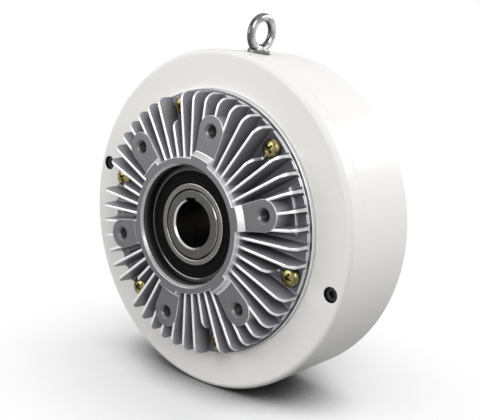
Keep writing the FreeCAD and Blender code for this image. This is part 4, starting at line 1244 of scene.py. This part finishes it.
def inner_race():
    corners = [
        (BEARING_BORE_R, BEARING_FRONT, RING_ROUND), (INNER_RING_R, BEARING_FRONT, INNER_RING_ROUND),
        *race_groove(INNER_RING_R, -1),
        (INNER_RING_R, BEARING_BACK, INNER_RING_ROUND), (BEARING_BORE_R, BEARING_BACK, RING_ROUND)]
    ring = as_object(lathe(rounded(corners)), "front_inner_race")
    # The deep part of the race's bore edges gets painted shade.
    return dress(ring, "rotor", "front_bearing_inner_ring", "ground_steel", GROUND,
                 (CHAMFER_HIGHLIGHT, on_chamfer), (BORE_LIP, BY_RING_BORE), (PAINTED_SHADE_METAL, in_ring_gap))


def seal(front, way):
    """Moulded seal: an outer bead, a sunk web with a rib, and a lip; points are radius and depth."""
    points = [
        (SEAL_INNER_R, 0.55), (SEAL_INNER_R + 0.25, 0.12), (SEAL_INNER_R + 0.9, 0.05),
        (SEAL_INNER_R + 1.4, 0.3), (SEAL_INNER_R + 1.9, 0.45), (30.0, 0.45), (30.3, 0.3), (30.8, 0.3),
        (31.1, 0.45), (32.2, 0.45), (32.6, 0.08), (33.2, 0.0), (33.9, 0.05), (SEAL_SEAT_R, 0.3),
        (SEAL_SEAT_R, SEAL_THICKNESS), (SEAL_INNER_R, SEAL_THICKNESS)]
    return lathe([(radius, front + way * depth) for radius, depth in points])


def seals():
    sides = [seal(BEARING_FRONT + SEAL_GAP, 1), seal(BEARING_BACK - SEAL_GAP, -1)]
    pair = as_object(merged(sides), "front_rubber_seals")
    return dress(pair, "stator", "front_bearing_seals", "seal_rubber", RUBBER)


def shaft():
    start = BEARING_FRONT
    groove_r = SHAFT_R - GROOVE_DEPTH
    groove_end = GROOVE_FRONT + GROOVE_WIDTH
    half = [
        (SHAFT_BORE_R, start + BORE_CHAMFER, 0.2), (SHAFT_BORE_R + BORE_CHAMFER, start, 0.2),
        (BEARING_BORE_R - SHAFT_CHAMFER, start, 0.25),
        (CHAMFER_STEP_R, start + CHAMFER_STEP_R - BEARING_BORE_R + SHAFT_CHAMFER, 0),
        (BEARING_BORE_R, start + SHAFT_CHAMFER, 0.25), (BEARING_BORE_R, BEARING_BACK, 0),
        (SHAFT_R, BEARING_BACK, 0.4), (SHAFT_R, GROOVE_FRONT, 0), (groove_r, GROOVE_FRONT, 0),
        (groove_r, groove_end, 0), (SHAFT_R, groove_end, 0)]
    back = [(radius, 2 * MIDDLE - y, size) for radius, y, size in reversed(half)]
    body = as_object(lathe(rounded(half + back)), "keyed_hollow_shaft")
    wide = KEYWAY_WIDTH / 2
    keyway = skin([[(0, y, -wide), (KEYWAY_R, y, -wide), (KEYWAY_R, y, wide), (0, y, wide)]
                   for y in (start - OVERCUT, 2 * MIDDLE - start + OVERCUT)])
    keyway.transform(spin(KEYWAY_ANGLE))
    cut(body, keyway)
    # The deep half of the outer chamfer gets painted shade.
    dress(body, "rotor", "hollow_shaft", "ground_steel", SHAFT,
          (CHAMFER_HIGHLIGHT, AT_BORE_MOUTH), (BORE_LIP, AT_OUTER_CHAMFER), (PAINTED_SHADE_METAL, IN_CHAMFER_GAP))


def build():
    front_housing()
    rear_housing()
    makers = (front_casting, bracket_screws, spring_washers, outer_race, inner_race, seals)
    for piece in [make() for make in makers]:
        rear_copy(piece)
    clamp_screws()
    lifting_eye()
    grommet()
    shaft()
    dress_carried()


# Camera, floor and light

def camera():
    """Camera at the photograph's viewing angle, level with the object's upper half."""
    azimuth, elevation, roll = map(radians, CAMERA_ANGLES)
    data = bpy.data.cameras.new("camera")
    data.lens = CAMERA_LENS
    thing = add_object("camera", data)
    level = Matrix.Rotation(azimuth, 3, "Z") @ Matrix.Rotation(pi / 2 - elevation, 3, "X")
    turn = level @ Matrix.Rotation(roll, 3, "Z")
    place = Vector((0, HOUSING_FRONT, 0)) + turn @ Vector(CAMERA_SHIFT)
    thing.matrix_world = Matrix.Translation(place * MM) @ turn.to_4x4()
    bpy.context.scene.camera = thing


def lamp(name, place, size, power):
    """Soft rectangular lamp that faces the object."""
    data = bpy.data.lights.new(name, "AREA")
    data.shape = "RECTANGLE"
    data.size, data.size_y = size
    data.energy = power
    way = Vector(place) - Vector((0, MIDDLE * MM, 0))
    turn = way.to_track_quat("Z", "Y").to_matrix().to_4x4()
    add_object(name, data).matrix_world = Matrix.Translation(place) @ turn


def sky():
    """White surroundings to the eye and in reflections, with a weaker light of their own."""
    world = bpy.data.worlds.new("surroundings")
    world.use_nodes = True
    bpy.context.scene.world = world
    s = Nodes(world.node_tree)
    level = s.spread(s.seen_directly(), 0.0, 1.0, SKY_STRENGTH, 1.0)
    s.feed(s.tree.nodes["Background"], {"Color": (1, 1, 1, 1), "Strength": level})


def studio():
    bm = bmesh.new()
    corners = ((-1, -1), (1, -1), (1, 1), (-1, 1))
    bm.faces.new([bm.verts.new((FLOOR_HALF * x, FLOOR_HALF * y, 0)) for x, y in corners])
    floor = add_object("studio_floor", kept_mesh(bm, "studio_floor"))
    floor.location = (0, MIDDLE * MM, FLOOR_Z * MM - FLOOR_DROP)
    floor.data.materials.append(pale_floor())
    for name, settings in LAMPS.items():
        lamp(name, *settings)
    sky()


build()
camera()
studio()
bpy.context.scene.view_settings.view_transform = "Standard"
